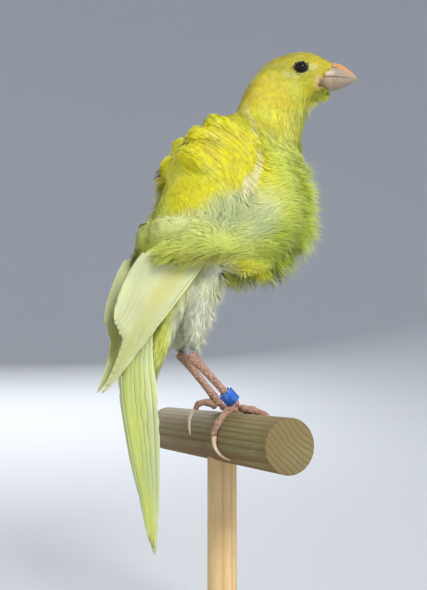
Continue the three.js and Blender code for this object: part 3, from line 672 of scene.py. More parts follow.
def barb_mesh(
    name, lines, outs, sides, shape, patches, barbs, barb=0.15, fray=0.08, sink=0.22, roundness=0.45
):
    """One piece of tufts: each barb is a closed tapering prism along its feather's line.

    Barb is half its thickness, fray how far barbs stray, sink how deep their roots are in the skin
    and roundness how far the shading turns from a barb's middle to its edges.
    """
    lengths, lifts, curls, widths = shape
    count, steps = len(lengths), len(lines) - 1
    tones = chance.uniform(0, 1, count)
    spread = (np.arange(barbs) + 0.5) / barbs * 2 - 1
    spread = spread[None] + chance.uniform(-0.5, 0.5, (count, barbs)) / barbs
    trims = 1 - 0.25 * spread**2 - chance.uniform(0, 0.25, (count, barbs))
    strays = chance.normal(0, fray, (count, barbs))
    raises = chance.normal(0, fray * 0.6, (count, barbs))
    rolls = chance.normal(0, 0.35, (count, barbs))
    rings, marks, facings = [], [], []
    own = np.arange(count)[:, None]
    for step in range(steps + 1):
        t = step / steps
        share = t * trims * steps
        index = np.minimum(share.astype(int), steps - 1)
        part = (share - index)[..., None]
        spot, out, across = (
            values[index, own] * (1 - part) + values[np.minimum(index + 1, steps), own] * part
            for values in (np.array(lines), np.array(outs), np.array(sides))
        )
        height = lengths[:, None] * (
            lifts[:, None] * t * trims + curls[:, None] * t**2 + raises * t**2
        ) - sink * MM * (1 - t)
        opening = TUFT_PINCH + (1 - TUFT_PINCH) * math.sin(math.pi * min(1, 0.25 + 0.55 * t))
        fan = widths[:, None] * spread * opening
        drift = lengths[:, None] * strays * t**2
        centre = spot + out * height[..., None] + across * (fan + drift)[..., None]
        if step == steps:
            rings.append(centre[:, :, None])
            facings.append((out + np.zeros_like(centre))[:, :, None])
        else:
            half = barb * MM * (1 - 0.6 * t)
            flat = across * np.cos(rolls)[..., None] + out * np.sin(rolls)[..., None]
            rings.append(np.stack([
                centre + flat * half,
                centre - flat * half,
                centre - out * half * 0.7,
            ], axis=2))
            facings.append(np.stack([
                out + flat * roundness,
                out - flat * roundness,
                out + 0 * flat,
            ], axis=2))
        marks.append(np.full((count, barbs, rings[-1].shape[2]), t))
    points, marks = np.concatenate(rings, axis=2), np.concatenate(marks, axis=2)
    turn = np.array(HEAD_PLACE.to_3x3())
    for side in (-1, 1):
        local = (points / MM - np.array(BIRD_AT + HEAD_AT)) @ turn
        off = local[..., [0, 2]] - np.array((EYE_AT[0], EYE_AT[2]))
        gap = np.linalg.norm(off, axis=3, keepdims=True)
        near = (gap < EYE_CLEAR) & (local[..., 1:2] * side > 3) & (local[..., :1] > -20)
        off = np.where(near, off / (gap + 1e-9) * EYE_CLEAR, off)
        local[..., 0] = off[..., 0] + EYE_AT[0]
        local[..., 2] = off[..., 1] + EYE_AT[2]
        points = (local @ turn.T + np.array(BIRD_AT + HEAD_AT)) * MM
    per_barb = points.shape[2]
    faces = [(0, 1, 2)]
    for step in range(steps - 1):
        a = 3 * step
        faces += [(a + i, a + (i + 1) % 3, a + 3 + (i + 1) % 3, a + 3 + i) for i in range(3)]
    last = 3 * (steps - 1)
    faces += [(last + i, last + (i + 1) % 3, per_barb - 1) for i in range(3)]
    total = count * barbs
    starts = np.arange(total) * per_barb
    loops = np.concatenate([np.array(face) for face in faces])
    sizes = np.array([len(face) for face in faces])
    mesh = bpy.data.meshes.new(name)
    mesh.vertices.add(total * per_barb)
    mesh.vertices.foreach_set("co", points.reshape(-1))
    mesh.loops.add(total * len(loops))
    mesh.loops.foreach_set("vertex_index", (starts[:, None] + loops).reshape(-1))
    mesh.polygons.add(total * len(faces))
    face_starts = np.concatenate([[0], np.cumsum(sizes)[:-1]])
    loop_starts = np.arange(total)[:, None] * len(loops) + face_starts
    mesh.polygons.foreach_set("loop_start", loop_starts.reshape(-1))
    mesh.update(calc_edges=True)
    mesh.normals_split_custom_set_from_vertices(np.concatenate(facings, axis=2).reshape(-1, 3))
    reach = mesh.attributes.new("reach", "FLOAT", "POINT")
    reach.data.foreach_set("value", marks.reshape(-1))
    tone = mesh.attributes.new("tone", "FLOAT", "POINT")
    barb_tones = np.clip(tones[:, None] + chance.normal(0, 0.15, (count, barbs)), 0, 1)
    tone.data.foreach_set("value", np.repeat(barb_tones.reshape(-1), per_barb))
    within = np.stack([
        np.repeat(spread[..., None], per_barb, 2) * TUFT_PATCH[0],
        (marks - 0.5) * TUFT_PATCH[1],
    ], axis=3)
    patch = (patches[:, None, None] + within).reshape(-1, 2)
    uv = mesh.uv_layers.new(name="OFBake")
    uv.data.foreach_set("uv", patch[(starts[:, None] + loops).reshape(-1)].reshape(-1))
    made = new_object(name, mesh)
    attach(made, "root")
    return made


# Plumage colours. The same markings run over skin and feathers: a golden head, a yellow-green neck
# and breast, a saturated yellow cape with a pale fringe, a grey-white flank, white thighs and vent.
# Three thin dark markings are painted shadow: in the crease under the flank belt, in the crease
# of the cheek and under the bill.
LIME = (0.56, 0.64, 0.04, 1)
GOLD = (0.68, 0.50, 0.02, 1)
YELLOW = (0.78, 0.72, 0.015, 1)
CHEEK_CREASE_SHADOW = (0.42, 0.46, 0.03, 1)
PALE_LIME = (0.76, 0.80, 0.16, 1)
STRAW = (0.86, 0.80, 0.26, 1)
ASH = (0.50, 0.58, 0.29, 1)
CREAM = (0.86, 0.82, 0.42, 1)
WHITE = (0.94, 0.95, 0.78, 1)
BLUSH = (0.88, 0.80, 0.50, 1)
TIP_PALE = (0.84, 0.86, 0.34, 1)
GAPE_PINK = (0.70, 0.46, 0.22, 1)
DASH_AND_SHADOW = (0.20, 0.20, 0.02, 1)
FLUSH = (0.80, 0.66, 0.06, 1)
GREY_GREEN = (0.50, 0.62, 0.32, 1)
BAND = (0.54, 0.60, 0.13, 1)
MOSS = (0.33, 0.43, 0.025, 1)
HEAD_GOLD = (0.55, 0.44, 0.015, 1)
HEAD_YELLOW = (0.52, 0.52, 0.025, 1)
BELT_CREASE_SHADOW = (0.46, 0.38, 0.03, 1)
NASAL = (0.46, 0.20, 0.02, 1)
# How far the edges of the markings wander, in millimetres.
MARKING_WANDER = (3.0, 3.0, 3.0)
# Each marking: its colour, strength, middle and reaches in the bird's millimetres, y outwards, and
# its tilt in degrees.
MARKINGS = (
    (HEAD_YELLOW, 0.8, (20, 8, 100), (14, 14, 12), 0),
    (PALE_LIME, 0.6, (14, 11, 95), (8, 9, 9), 0),
    (YELLOW, 0.9, (8, 4, 101), (11, 10, 14), 0),
    (GOLD, 0.7, (12, 4, 112), (12, 12, 10), 0),
    (YELLOW, 1.0, (-10, 10, 80), (17, 24, 19), 0),
    (FLUSH, 0.8, (-6, 12, 86), (8, 12, 7), 0),
    (YELLOW, 1.0, (-3, 15, 82), (6, 9, 8), 0),
    (YELLOW, 1.0, (-13, 16, 69), (9, 12, 6), 0),
    (TIP_PALE, 0.85, (-17, 14, 61.5), (14, 16, 5), 0),
    (ASH, 0.95, (-3, 18, 65), (12, 12, 8), 0),
    (CREAM, 0.25, (6, 18, 71), (8, 9, 4), 0),
    (BAND, 0.8, (-14, 14, 56), (16, 16, 6), 0),
    # A thin brownish line along the lower edge of the flank belt: painted shadow in the crease
    # under the belt.
    (BELT_CREASE_SHADOW, 0.4, (-12, 15, 51.2), (16, 12, 1.4), 4),
    (STRAW, 0.8, (4.2, 9, 97), (0.9, 9, 10), 8),
    (CREAM, 0.8, (1.6, 16, 80), (1.2, 6, 6), 14),
    (BLUSH, 0.8, (-1.8, 17, 74), (1.9, 7, 4.4), 22),
    (MOSS, 0.8, (21, 10, 71), (10, 15, 19), 0),
    (MOSS, 0.8, (17, 14, 57), (13, 12, 9), 0),
    (YELLOW, 0.7, (-1, 11, 49.6), (9, 10, 3), 0),
    (ASH, 0.85, (-25, 17, 72), (7, 4.5, 12), 0),
    (PALE_LIME, 0.9, (-25, 3, 33), (9, 9, 15), 0),
    (WHITE, 1.0, (-8, 9, 39), (8, 10, 13), 0),
    (WHITE, 0.9, (-15, 4, 33), (6, 8, 15), 0),
    (GREY_GREEN, 0.5, (-23, 3, 14), (7, 8, 9), 0),
)


class Plumage(Finish):
    """The material of skin and feathers, whose markings are placed on the bird's own body."""

    def __init__(self, name):
        super().__init__(name, Roughness=0.8, Specular_IOR_Level=0.2, Sheen_Weight=0.1)
        place = self.place()
        self.spot = self.framed(place, Location=BIRD_AT * MM, Scale=(MM, MM, MM))
        wander = self.vector("SUBTRACT", self.noise(place, 180, 2, out="Color"), (0.5, 0.5, 0.5))
        wander = self.vector("MULTIPLY", wander, MARKING_WANDER)
        self.fold = self.folded(self.vector("ADD", self.spot, wander))
        self.fine = place

    def patch(self, middle, reaches, tilt=0, soft=0.35, spot=None):
        """A mask that is 1 inside a rounded patch and fades out round its edge."""
        turn = (0, math.radians(tilt), 0)
        gap = self.framed(spot or self.fold, Location=middle, Rotation=turn, Scale=reaches)
        length = self.vector("LENGTH", gap, out="Value")
        return 1 - self.between(length, 1 - soft, 1 + soft)

    def finish(self):
        colour = self.node("ShaderNodeRGB")
        colour.link.default_value = LIME
        for shade, strength, *shape in MARKINGS:
            colour = self.mix(self.patch(*shape) * strength, colour, shade)
        head = self.framed(self.spot, Location=HEAD_AT, Rotation=(0, 0, HEAD_TURN))
        head = self.folded(head)
        for shade, strength, *shape in HEAD_MARKINGS:
            colour = self.mix(self.patch(*shape, soft=0.4, spot=head) * strength, colour, shade)
        # Fine dark dashes ring the eye, most of them below it and behind it.
        flat = self.framed(head, Location=(EYE_AT[0], 0, EYE_AT[2]), Scale=(1.12, 1000, 1))
        gap = self.vector("LENGTH", flat, out="Value")
        height = self.along(flat, 2)
        rings = self.node("ShaderNodeMath", {"operation": "SINE"}, {0: gap * 10.5})
        rings = self.between(rings, 0.0, 0.8) * self.between(self.noise(head, 1.1, 2), 0.42, 0.56)
        rings = rings * (1 - self.between(gap, 3.8, 4.8))
        rings = rings * self.between(height, 2.2, 0.2, 0.25, 1.0)
        colour = self.mix(rings * self.between(gap, 2.0, 2.3) * 0.75, colour, DASH_AND_SHADOW)
        reach = self.attribute("reach")
        tone = self.attribute("tone")
        patchy = self.noise(self.fold, 0.16, 2)
        back = self.between(self.along(self.fold, 2), 64, 76)
        colour = self.mix(self.between(patchy, 0.5, 0.66) * back * 0.3, colour, GOLD)
        colour = self.mix(self.between(patchy, 0.48, 0.36) * 0.3, colour, PALE_LIME)
        streak = self.noise(self.fine, 900, 2)
        colour = self.mix(self.between(reach, 0.4, 1.0, 0.0, 0.3), colour, TIP_PALE)
        shade = self.between(tone, 0.0, 1.0, 0.84, 1.06)
        shade = shade + self.between(streak, 0.3, 0.7, -0.05, 0.05)
        # Barbs are darker towards their roots: painted shade where they go in under the coat, on
        # top of their random tone.
        shade = shade * self.between(reach, 0.0, 0.5, 0.93, 1.0)
        tone_and_root_shade = self.node("ShaderNodeCombineColor", {}, {0: shade, 1: shade, 2: shade})
        self.feed("Base Color", self.mix(1.0, colour, tone_and_root_shade, "MULTIPLY"))
        self.feed("Normal", self.bump(streak, 0.0002, 0.4))
        return self.material


# Markings of the head, in its own millimetres: x to the bill, z to the crown, on both sides.
HEAD_MARKINGS = (
    (HEAD_GOLD, 0.92, (0, 0, 0), (15, 12, 12), 0),
    (HEAD_YELLOW, 0.6, (-3, 5, -5), (9, 6, 6), 0),
    (FLUSH, 0.5, (2, 0, 8), (9, 6, 3), 0),
    (CREAM, 0.4, (-4, 8, -3.4), (3.0, 4, 1.2), 0),
    (CREAM, 0.5, (3.4, 6, -0.2), (1.6, 3, 1.4), 0),
    (NASAL, 0.75, (10.6, 1.5, 3.4), (2.2, 3, 1.0), 35),
    # A thin dark line from below the bill back and down: painted shadow in the crease where the
    # cheek laps over the neck.
    (CHEEK_CREASE_SHADOW, 0.8, (0, 5, -11), (8, 5, 0.9), -26),
    (GAPE_PINK, 0.9, (5.4, 5, -4.4), (1.5, 3, 2.2), 0),
    # A thin dark line just under the lower half of the bill: painted shadow under the bill.
    (DASH_AND_SHADOW, 0.85, (5.4, 3, -7.8), (3.6, 4, 0.8), -30),
    (LIME, 0.9, (6, 0, -10), (7, 5, 3), -30),
)

plumage_finish = Plumage("plumage").finish()
skin.data.materials.append(plumage_finish)


def in_head(spots):
    local = (spots - np.array(HEAD_AT)) @ np.array(HEAD_PLACE.to_3x3())
    off_eye = np.hypot(local[:, 0] - EYE_AT[0], local[:, 2] - EYE_AT[2])
    behind_bill = local[:, 0] < FACE_AT + FACE_SLANT * local[:, 2] - 0.3
    inside = (local[:, 0] > -12) & (local[:, 0] - 1.2 * local[:, 2] > -9.5)
    return inside & behind_bill & (off_eye > EYE_CLEAR + 0.2)


def above_neck(spots):
    return (spots[:, 2] > 94 + 0.35 * (spots[:, 0] - 15)) & (spots[:, 0] > 4)


def behind_cape_front(spots):
    return (spots[:, 0] - 6) * 37 - (spots[:, 2] - 104) * 13 < 0


def above_cape_low(spots):
    return (spots[:, 0] + 22) * 6.2 - (spots[:, 2] - 58.6) * 15 < 0


def in_thigh(spots):
    ahead = spots[:, 0] > -18 - 0.1 * (spots[:, 2] - 40)
    return (spots[:, 2] < 46) & ahead & (abs(spots[:, 1]) > 2.5)


def in_cape(spots):
    return behind_cape_front(spots) & above_cape_low(spots)


def turn_of(spots):
    """Degrees round the axis of the frills, from the front to either side."""
    return np.degrees(np.arctan2(abs(spots[:, 1]), spots[:, 0] - FRILL_AXIS_X))


def in_breast(spots):
    return (turn_of(spots) < 50) & (spots[:, 2] > 47) & ~above_neck(spots)


def in_flank(spots):
    beside = (turn_of(spots) > 44) & (spots[:, 2] > 46)
    return beside & ~in_cape(spots) & ~above_neck(spots)


def in_rump(spots):
    return (spots[:, 2] < 50) & ~in_thigh(spots)


def in_neck(spots):
    return above_neck(spots) & ~in_head(spots)


def on_side(belongs, side, past=-0.5):
    """The part of a region on one side of the bird, from a little past its middle."""
    return lambda spots: belongs(spots) & (spots[:, 1] * side > past)


coats = [
    feather_tufts(
        "head_coat", sown(2600, in_head), 6, width=0.75, barb=0.12, fray=0.05, stand=0.35,
        sink=0.14, roundness=0.22,
    ),
    feather_tufts(
        "neck_coat", sown(2100, in_neck), 8, width=1.0, barb=0.13, fray=0.06, stand=0.45, sink=0.18,
        roundness=0.3,
    ),
    feather_tufts("breast_coat", sown(1550, in_breast), 10, width=1.6, fray=0.14, stand=0.75),
    feather_tufts("rump_coat", sown(520, in_rump), 9),
]
for side, word in ((-1, "right"), (1, "left")):
    coats += [
        feather_tufts(
            f"cape_coat_{word}", sown(1700, on_side(in_cape, side)), 10, barb=0.14, fray=0.06,
            stand=0.5, roundness=0.35,
        ),
        feather_tufts(
            f"flank_coat_{word}", sown(1400, on_side(in_flank, side)), 10, width=1.6, barb=0.14,
            fray=0.09, stand=0.8,
        ),
        feather_tufts(
            f"thigh_coat_{word}", sown(520, on_side(in_thigh, side, 0)), 9, width=1.2, fray=0.2,
            stand=1.3,
        ),
    ]
# Fringes: x, y outwards and z of a root, the way that its feathers point, and their length.
CAPE_EDGE = [
    (-23, 3, 68, -0.3, 0.1, -1, 10),
    (-20, 9, 67.5, -0.2, 0.2, -1, 10),
    (-14, 14.6, 65.5, 0.1, 0.2, -1, 8),
    (-8, 17.2, 66.5, 0.5, 0.15, -0.9, 6),
    (-4.2, 17.6, 71, 0.6, 0.15, -0.8, 5),
]
BELT_EDGE = [
    (-3, 16.5, 53, -0.9, 0.1, -0.35, 7),
    (-11, 18.0, 53.2, -0.9, 0.0, -0.30, 8),
    (-18, 16.4, 53.6, -0.9, -0.1, -0.35, 8),
    (-24.6, 12.0, 53.6, -0.8, -0.2, -0.45, 6),
    (-27.6, 6, 54.2, -0.5, -0.3, -0.8, 5),
]
JABOT_TIPS = [
    (22, 9, 83, 0.7, 0.1, -0.2, 5),
    (26, 6, 80, 0.95, 0.05, 0.0, 7.5),
    (28, 3, 73, 1.0, 0.0, -0.1, 8),
    (27, 7, 66, 0.9, 0.1, -0.3, 8.5),
    (22, 9, 60, 0.7, 0.1, -0.7, 8.5),
    (14, 10, 55, 0.55, 0.1, -0.8, 6),
]
JABOT_SIDES = [
    (20, 13, 81, 0.8, -0.1, -0.1, 7),
    (20, 14.5, 76, 0.9, -0.1, 0.0, 9),
    (19, 14.5, 68, 0.9, -0.1, -0.15, 9),
    (16, 14, 61, 0.8, -0.05, -0.5, 9),
]
HANGING_TIPS = [
    (-2, 8, 49.6, 0.3, 0.1, -0.9, 2.4),
    (4, 9, 49.4, 0.4, 0.1, -0.9, 4),
    (10, 9.5, 51, 0.5, 0.1, -0.85, 7),
    (16, 9, 54, 0.65, 0.1, -0.75, 8),
]
THIGH_EDGE = [
    (-5.6, 8.6, 49, 0.35, 0.2, -0.9, 5),
    (-7.0, 9.4, 43, 0.45, 0.2, -0.85, 5.5),
    (-9.8, 8.2, 36, 0.40, 0.15, -0.9, 5),
    (-12.8, 6.4, 29, 0.25, 0.1, -1, 4.5),
]
THROAT_EDGE = [
    (34.5, 5.0, 112.6, 0.85, -0.4, -0.25, 2.6),
    (32, 5, 110, 0.75, -0.35, -0.5, 3.0),
    (29, 4, 106, 0.6, -0.25, -0.75, 3.2),
]
FAR_CAPE_EDGE = [
    (-16, 13, 79, -0.8, 0.4, -0.6, 5),
    (-19, 12, 73, -0.8, 0.4, -0.7, 6),
    (-20, 12, 66, -0.7, 0.4, -0.9, 7),
]
SCAPULARS = [
    (-21.5, 5.0, 71, -0.35, 0.2, -1, 14),
    (-22.0, 3.0, 68, -0.30, 0.25, -1, 14),
]
PALE_QUILL = [(-11.4, 17.6, 75.6, 0.5, 0.12, -0.85, 8), (-10.4, 18.0, 74, 0.5, 0.12, -0.85, 8)]
WEDGE = [(1.8, 15.8, 81, -0.3, 0.1, -1, 8), (-1.5, 16.6, 75, -0.4, 0.1, -0.9, 7)]
coats += [
    fringe("cape_fringe", CAPE_EDGE, 300, 9, barb=0.10, fray=0.16, width=1.2),
    fringe("belt_fringe", BELT_EDGE, 360, 9, barb=0.12, fray=0.10, width=1.4),
    fringe(
        "jabot_fringe", JABOT_TIPS, 340, 9, barb=0.075, fray=0.24, width=1.3, droop=0.05,
        jitter=2.2,
    ),
    fringe(
        "jabot_side_fringe", JABOT_SIDES, 260, 9, barb=0.075, fray=0.22, width=1.3, droop=0.05,
        jitter=2.4,
    ),
    fringe(
        "hanging_fringe", HANGING_TIPS, 200, 7, barb=0.06, fray=0.30, droop=0.15, jitter=2.0,
    ),
    fringe("thigh_fringe", THIGH_EDGE, 280, 6, barb=0.07, fray=0.2, width=0.6),
    fringe("throat_fringe", THROAT_EDGE, 120, 6, barb=0.07, fray=0.2, width=0.6, jitter=0.7),
    fringe(
        "far_cape_fringe", FAR_CAPE_EDGE, 130, 9, barb=0.10, fray=0.16, width=1.4, jitter=2.0,
        sides=(1,),
    ),
    fringe(
        "scapular_fringe", SCAPULARS, 60, 12, barb=0.11, fray=0.04, width=1.3, jitter=0.9, droop=0,
    ),
    fringe(
        "pale_quill", PALE_QUILL, 9, 12, barb=0.13, fray=0.06, width=0.6, jitter=0.2, droop=-0.05,
        sides=(-1,),
    ),
    fringe("pale_wedge", WEDGE, 40, 10, barb=0.11, fray=0.06, width=0.9, jitter=0.6),
]
STANDS_FOR = {
    "breast_coat": ["jabot"],
    "rump_coat": ["vent"],
    "cape_coat_right": ["mantle_right"],
    "cape_coat_left": ["mantle_left"],
    "flank_coat_right": ["fin_right"],
    "flank_coat_left": ["fin_left"],
    "thigh_coat_right": ["thigh_right"],
    "thigh_coat_left": ["thigh_left"],
}
for coat in coats:
    coat.data.materials.append(plumage_finish)
    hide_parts(*STANDS_FOR.get(coat.name, []))


def finished(name, bm, material, slot, *nodes):
    """Turns a bmesh in the bird's millimetres into a piece that stands for the given nodes."""
    bmesh.ops.remove_doubles(bm, verts=bm.verts, dist=1e-4)
    bmesh.ops.recalc_face_normals(bm, faces=bm.faces)
    bmesh.ops.scale(bm, vec=(MM, MM, MM), verts=bm.verts)
    bmesh.ops.translate(bm, vec=BIRD_AT * MM, verts=bm.verts)
    mesh = bpy.data.meshes.new(name)
    bm.to_mesh(mesh)
    bm.free()
    mesh.shade_smooth()
    made = new_object(name, mesh)
    mesh.materials.append(material)
    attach(made, "root")
    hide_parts(*nodes)
    return made


# Wings. Each folded wing is a fan of flight quills, the innermost on top and each next one out
# tucked under it, so that only its outer edge shows. The quills are pale with yellow outer edges,
# and their roots are held under the belt of flank feathers.
# Sections: x, y and z along the middle of the folded wing, and half its width.
WING_SECTIONS = [
    (-12.5, 12.0, 62, 3.4),
    (-18.4, 11.6, 56.5, 6.0),
    (-26.0, 9.4, 46.5, 6.6),
    (-32.8, 6.6, 34, 4.8),
    (-37.4, 4.2, 24, 3.0),
    (-41.6, 2.6, 14.2, 0.9),
]
WING_OUTWARD = (-0.55, 0.83, 0)
WING_QUILLS = 17
WING_TILT = 5
WING_WEB = (0.78, 0.82, 0.46, 1)
WING_EDGE = (0.76, 0.70, 0.09, 1)
WING_SHADE = (0.36, 0.42, 0.25, 1)
SHAFT_COLOUR = (0.62, 0.55, 0.28, 1)
QUILL_THICKNESS = 0.12
QUILL_STEP = 0.17
# Columns across a vane and rows along it, and the share of the rows whose edge is notched.
QUILL_GRID = (8, 30)
QUILL_FRAYED_SHARE = 0.22


def quill(bm, spine, outwards, half, tilt, number, count, notch=0.10, flip=False):
    """Adds one flight feather: a cambered vane on a shaft, frayed a little along its edges.

    Half gives its half width from root to tip, and number and count its strip of the unwrap.
    """
    across, along = QUILL_GRID
    grid = bmesh.ops.create_grid(bm, x_segments=across, y_segments=along, size=0.5)["verts"]
    splits = chance.uniform(0, 1, (2, along + 1))
    uv = bm.loops.layers.uv.verify()
    place = {}
    for vert in grid:
        u, v = vert.co.x * 2, vert.co.y + 0.5
        column, row = round((u + 1) * across / 2), round(v * along)
        spot = Vector(along_rows(spine, v))
        behind = Vector(along_rows(spine, max(0, v - 0.02)))
        ahead = Vector(along_rows(spine, min(1, v + 0.02)))
        way = (ahead - behind).normalized()
        out = Vector(outwards)
        out = (out - way * out.dot(way)).normalized()
        out = Matrix.Rotation(math.radians(tilt), 3, way) @ out
        side = out.cross(way)
        width = half(v)
        frayed = row > along * 0.3 and column in (0, across)
        if frayed and splits[column // across, row] < QUILL_FRAYED_SHARE:
            width *= 1 - notch
        if row == along:
            width *= 0.75
        shaft = 0.16 * max(0, 1 - abs(u) * 4) * (1 - 0.7 * v)
        vert.co = spot + side * u * width + out * (shaft - 0.10 * u * u * width)
        place[vert] = ((u + 1) / 2, v)
    for face in {face for vert in grid for face in vert.link_faces}:
        for loop in face.loops:
            u, v = place[loop.vert]
            loop[uv].uv = ((number + 0.05 + 0.9 * (1 - u if flip else u)) / count, v)


def thickened(feathers):
    """Gives a fan of quills the thickness of its webs, and its unwrap the name for the bake."""
    feathers.data.uv_layers[0].name = "OFBake"
    shell = feathers.modifiers.new("web", "SOLIDIFY")
    shell.thickness = QUILL_THICKNESS * MM
    shell.offset = 0


def vane_finish(name, edge_colour, web_colour, shade_colour):
    """Feather webs in their own unwrap, where every quill is one upright strip."""
    finish = Finish(name, Roughness=0.55, Specular_IOR_Level=0.3, Sheen_Weight=0.1)
    strip = finish.node("ShaderNodeUVMap", {"uv_map": "OFBake"})
    v = finish.along(strip, 1)
    number = finish.along(strip, 0) * float(WING_QUILLS)
    u = finish.node("ShaderNodeMath", {"operation": "FRACT"}, {0: number})
    slope = finish.node("ShaderNodeMath", {"operation": "ABSOLUTE"}, {0: u - 0.5})
    barbs = finish.node("ShaderNodeMath", {"operation": "SINE"}, {0: (v * 30 - slope * 7) * 26.0})
    place = finish.place()
    cloud = finish.noise(place, 60, 3)
    long_streaks = finish.noise(strip, 30, 2, (6, 0.25, 1))
    own = finish.node("ShaderNodeMath", {"operation": "FLOOR"}, {0: number})
    own = finish.node("ShaderNodeMath", {"operation": "SINE"}, {0: own * 12.9})
    edge = finish.between(u, 0.07, 0.13)
    colour = finish.mix(edge, edge_colour, web_colour)
    colour = finish.mix(finish.between(own, 0.1, 1.0) * 0.6, colour, edge_colour)
    # Painted shadow along the band of each quill where the next quill laps over it, in the darker
    # shade colour.
    lap_shadow = finish.between(u, 0.14, 0.28) * finish.between(u, 0.5, 0.3)
    colour = finish.mix(lap_shadow * 0.75, colour, shade_colour)
    colour = finish.mix(finish.between(long_streaks, 0.45, 0.72) * 0.4, colour, edge_colour)
    colour = finish.mix(finish.between(cloud, 0.45, 0.7) * 0.35, colour, shade_colour)
    shaft = 1 - finish.between(slope, 0.015, 0.04)
    colour = finish.mix(shaft * 0.5, colour, SHAFT_COLOUR)
    colour = finish.mix(finish.between(barbs, -1, 1, 0, 0.14), colour, shade_colour)
    finish.feed("Base Color", colour)
    finish.feed("Normal", finish.bump(barbs + shaft * 2, 0.00006, 0.5))
    return finish.material


wing_finish = vane_finish("flight_feather", WING_EDGE, WING_WEB, WING_SHADE)

for side, word in ((-1, "right"), (1, "left")):
    path = [(x, side * y, z) for x, y, z, _ in WING_SECTIONS]
    halves = [(half,) for _, _, _, half in WING_SECTIONS]
    outward = Vector((WING_OUTWARD[0], side * WING_OUTWARD[1], 0)).normalized()
    bm = bmesh.new()
    for number in range(WING_QUILLS):
        place = 1 - 2 * (number + 0.5) / WING_QUILLS
        inner = number / (WING_QUILLS - 1)
        tip = 1 - 0.62 * inner if inner < 0.45 else 0.72 - 0.14 * (inner - 0.45)
        tip += chance.uniform(-0.008, 0.008)
        root = 0.15 + 0.06 * abs(place) + 0.15 * inner
        broad = 0.95 + 0.2 * inner
        spine = []
        for step in np.linspace(0, 1, 6):
            t = root + (tip - root) * step
            spot = Vector(along_rows(path, t))
            behind, ahead = (Vector(along_rows(path, t + gap)) for gap in (-0.02, 0.02))
            way = (ahead - behind).normalized()
            out = (outward - way * outward.dot(way)).normalized()
            across = way.cross(out)
            reach = (along_rows(halves, t)[0] + 0.2) * place * side
            rise = (QUILL_STEP * number - 1.2) * (1 - 0.4 * step)
            spine.append(tuple(spot + across * reach + out * rise))

        def half_width(v):
            rounded = math.sqrt(max(0.02, 1.0 - v**6))
            return 1.9 * broad * rounded * (0.8 + 0.2 * math.sin(math.pi * v))

        quill(
            bm, spine, outward, half_width, side * WING_TILT, number, WING_QUILLS, flip=side < 0,
        )
    wing = finished(f"wing_feathers_{word}", bm, wing_finish, "feather_flight", f"wing_{word}")
    thickened(wing)

# Tail. Twelve long quills folded like a roof, the middle pair on top and the rest stepping down to
# both sides. They are yellow-green above with a white outer edge, and grey-green beneath.
# Sections: x and z of the ridge, half the width and the drop from the ridge to the sides.
TAIL_SECTIONS = [
    (-29.4, 38, 4.2, 1.0),
    (-33.8, 22, 6.2, 5.6),
    (-33.0, 10, 6.4, 7.0),
    (-30.6, -4, 5.0, 5.4),
    (-27.4, -17, 3.2, 3.0),
    (-24.2, -33.2, 1.0, 0.3),
]
TAIL_PAIRS = 6
TAIL_TILT = -9
TAIL_OUTWARD = (-0.77, 0.64, 0)
TAIL_WEB = (0.66, 0.72, 0.12, 1)
TAIL_EDGE = (0.84, 0.90, 0.56, 1)
TAIL_SHADE = (0.46, 0.56, 0.34, 1)
tail_finish = vane_finish("tail_feather", TAIL_EDGE, TAIL_WEB, TAIL_SHADE)
bm = bmesh.new()
for side in (-1, 1):
    for pair in range(TAIL_PAIRS):
        place = (pair + 0.45) / TAIL_PAIRS
        tip = 0.94 + 0.06 * place - 0.02 * (pair % 2) + chance.uniform(-0.006, 0.006)
        spine = []
        for step in np.linspace(0.02, 1, 7):
            x, z, half, drop = along_rows(TAIL_SECTIONS, step * tip)
            spine.append((x + drop * place**1.3 + 0.12 * pair, side * half * place * 0.92, z))
        outward = Vector((TAIL_OUTWARD[0], side * TAIL_OUTWARD[1], 0)).normalized()
        number = pair if side > 0 else 2 * TAIL_PAIRS - 1 - pair
        quill(
            bm, spine, outward,
            lambda v: 2.3 * math.sqrt(max(0.03, 1.02 - v**4)) * (1 - 0.35 * v),
            side * TAIL_TILT, number, WING_QUILLS, notch=0.2, flip=side > 0,
        )
thickened(finished("tail_feathers", bm, tail_finish, "feather_flight", "tail"))

# Bill. A short stout cone in two halves of pinkish horn, parted by the mouth line; the upper half
# laps over the lower, has a nostril at each side of its root, partly under the feathers, and is
# orange along its ridge.
BILL_SECTIONS = [
    (4.2, 0, -2.8, 2.6, 3.2, 3.8),
    (7.0, 0, -2.0, 4.2, 4.3, 5.3),
    (9.6, 0, -1.5, 4.9, 4.6, 4.9),
    (12.2, 0, -1.3, 4.8, 4.3, 4.0),
    (14.6, 0, -1.4, 3.6, 3.2, 2.8),
    (16.9, 0, -1.6, 2.0, 1.8, 1.5),
    (18.9, 0, -1.9, 0.45, 0.35, 0.35),
]
NOSTRIL_AT = (10.9, 3.9, 1.1)
NOSTRIL_RADIUS = 0.85
NOSTRIL_DEPTH = 0.55
MOUTH_AT = (8.4, 0, -2.5)
MOUTH_NORMAL = (-0.06, 0, 1)
MOUTH_GAP = 0.07
LOWER_SHRINK = 0.93
HORN = (0.30, 0.215, 0.145, 1)
HORN_PALE = (0.36, 0.30, 0.215, 1)
HORN_ORANGE = (0.66, 0.27, 0.07, 1)
HORN_ROOT = (0.46, 0.31, 0.21, 1)
NOSTRIL_SHADOW = (0.07, 0.035, 0.02, 1)

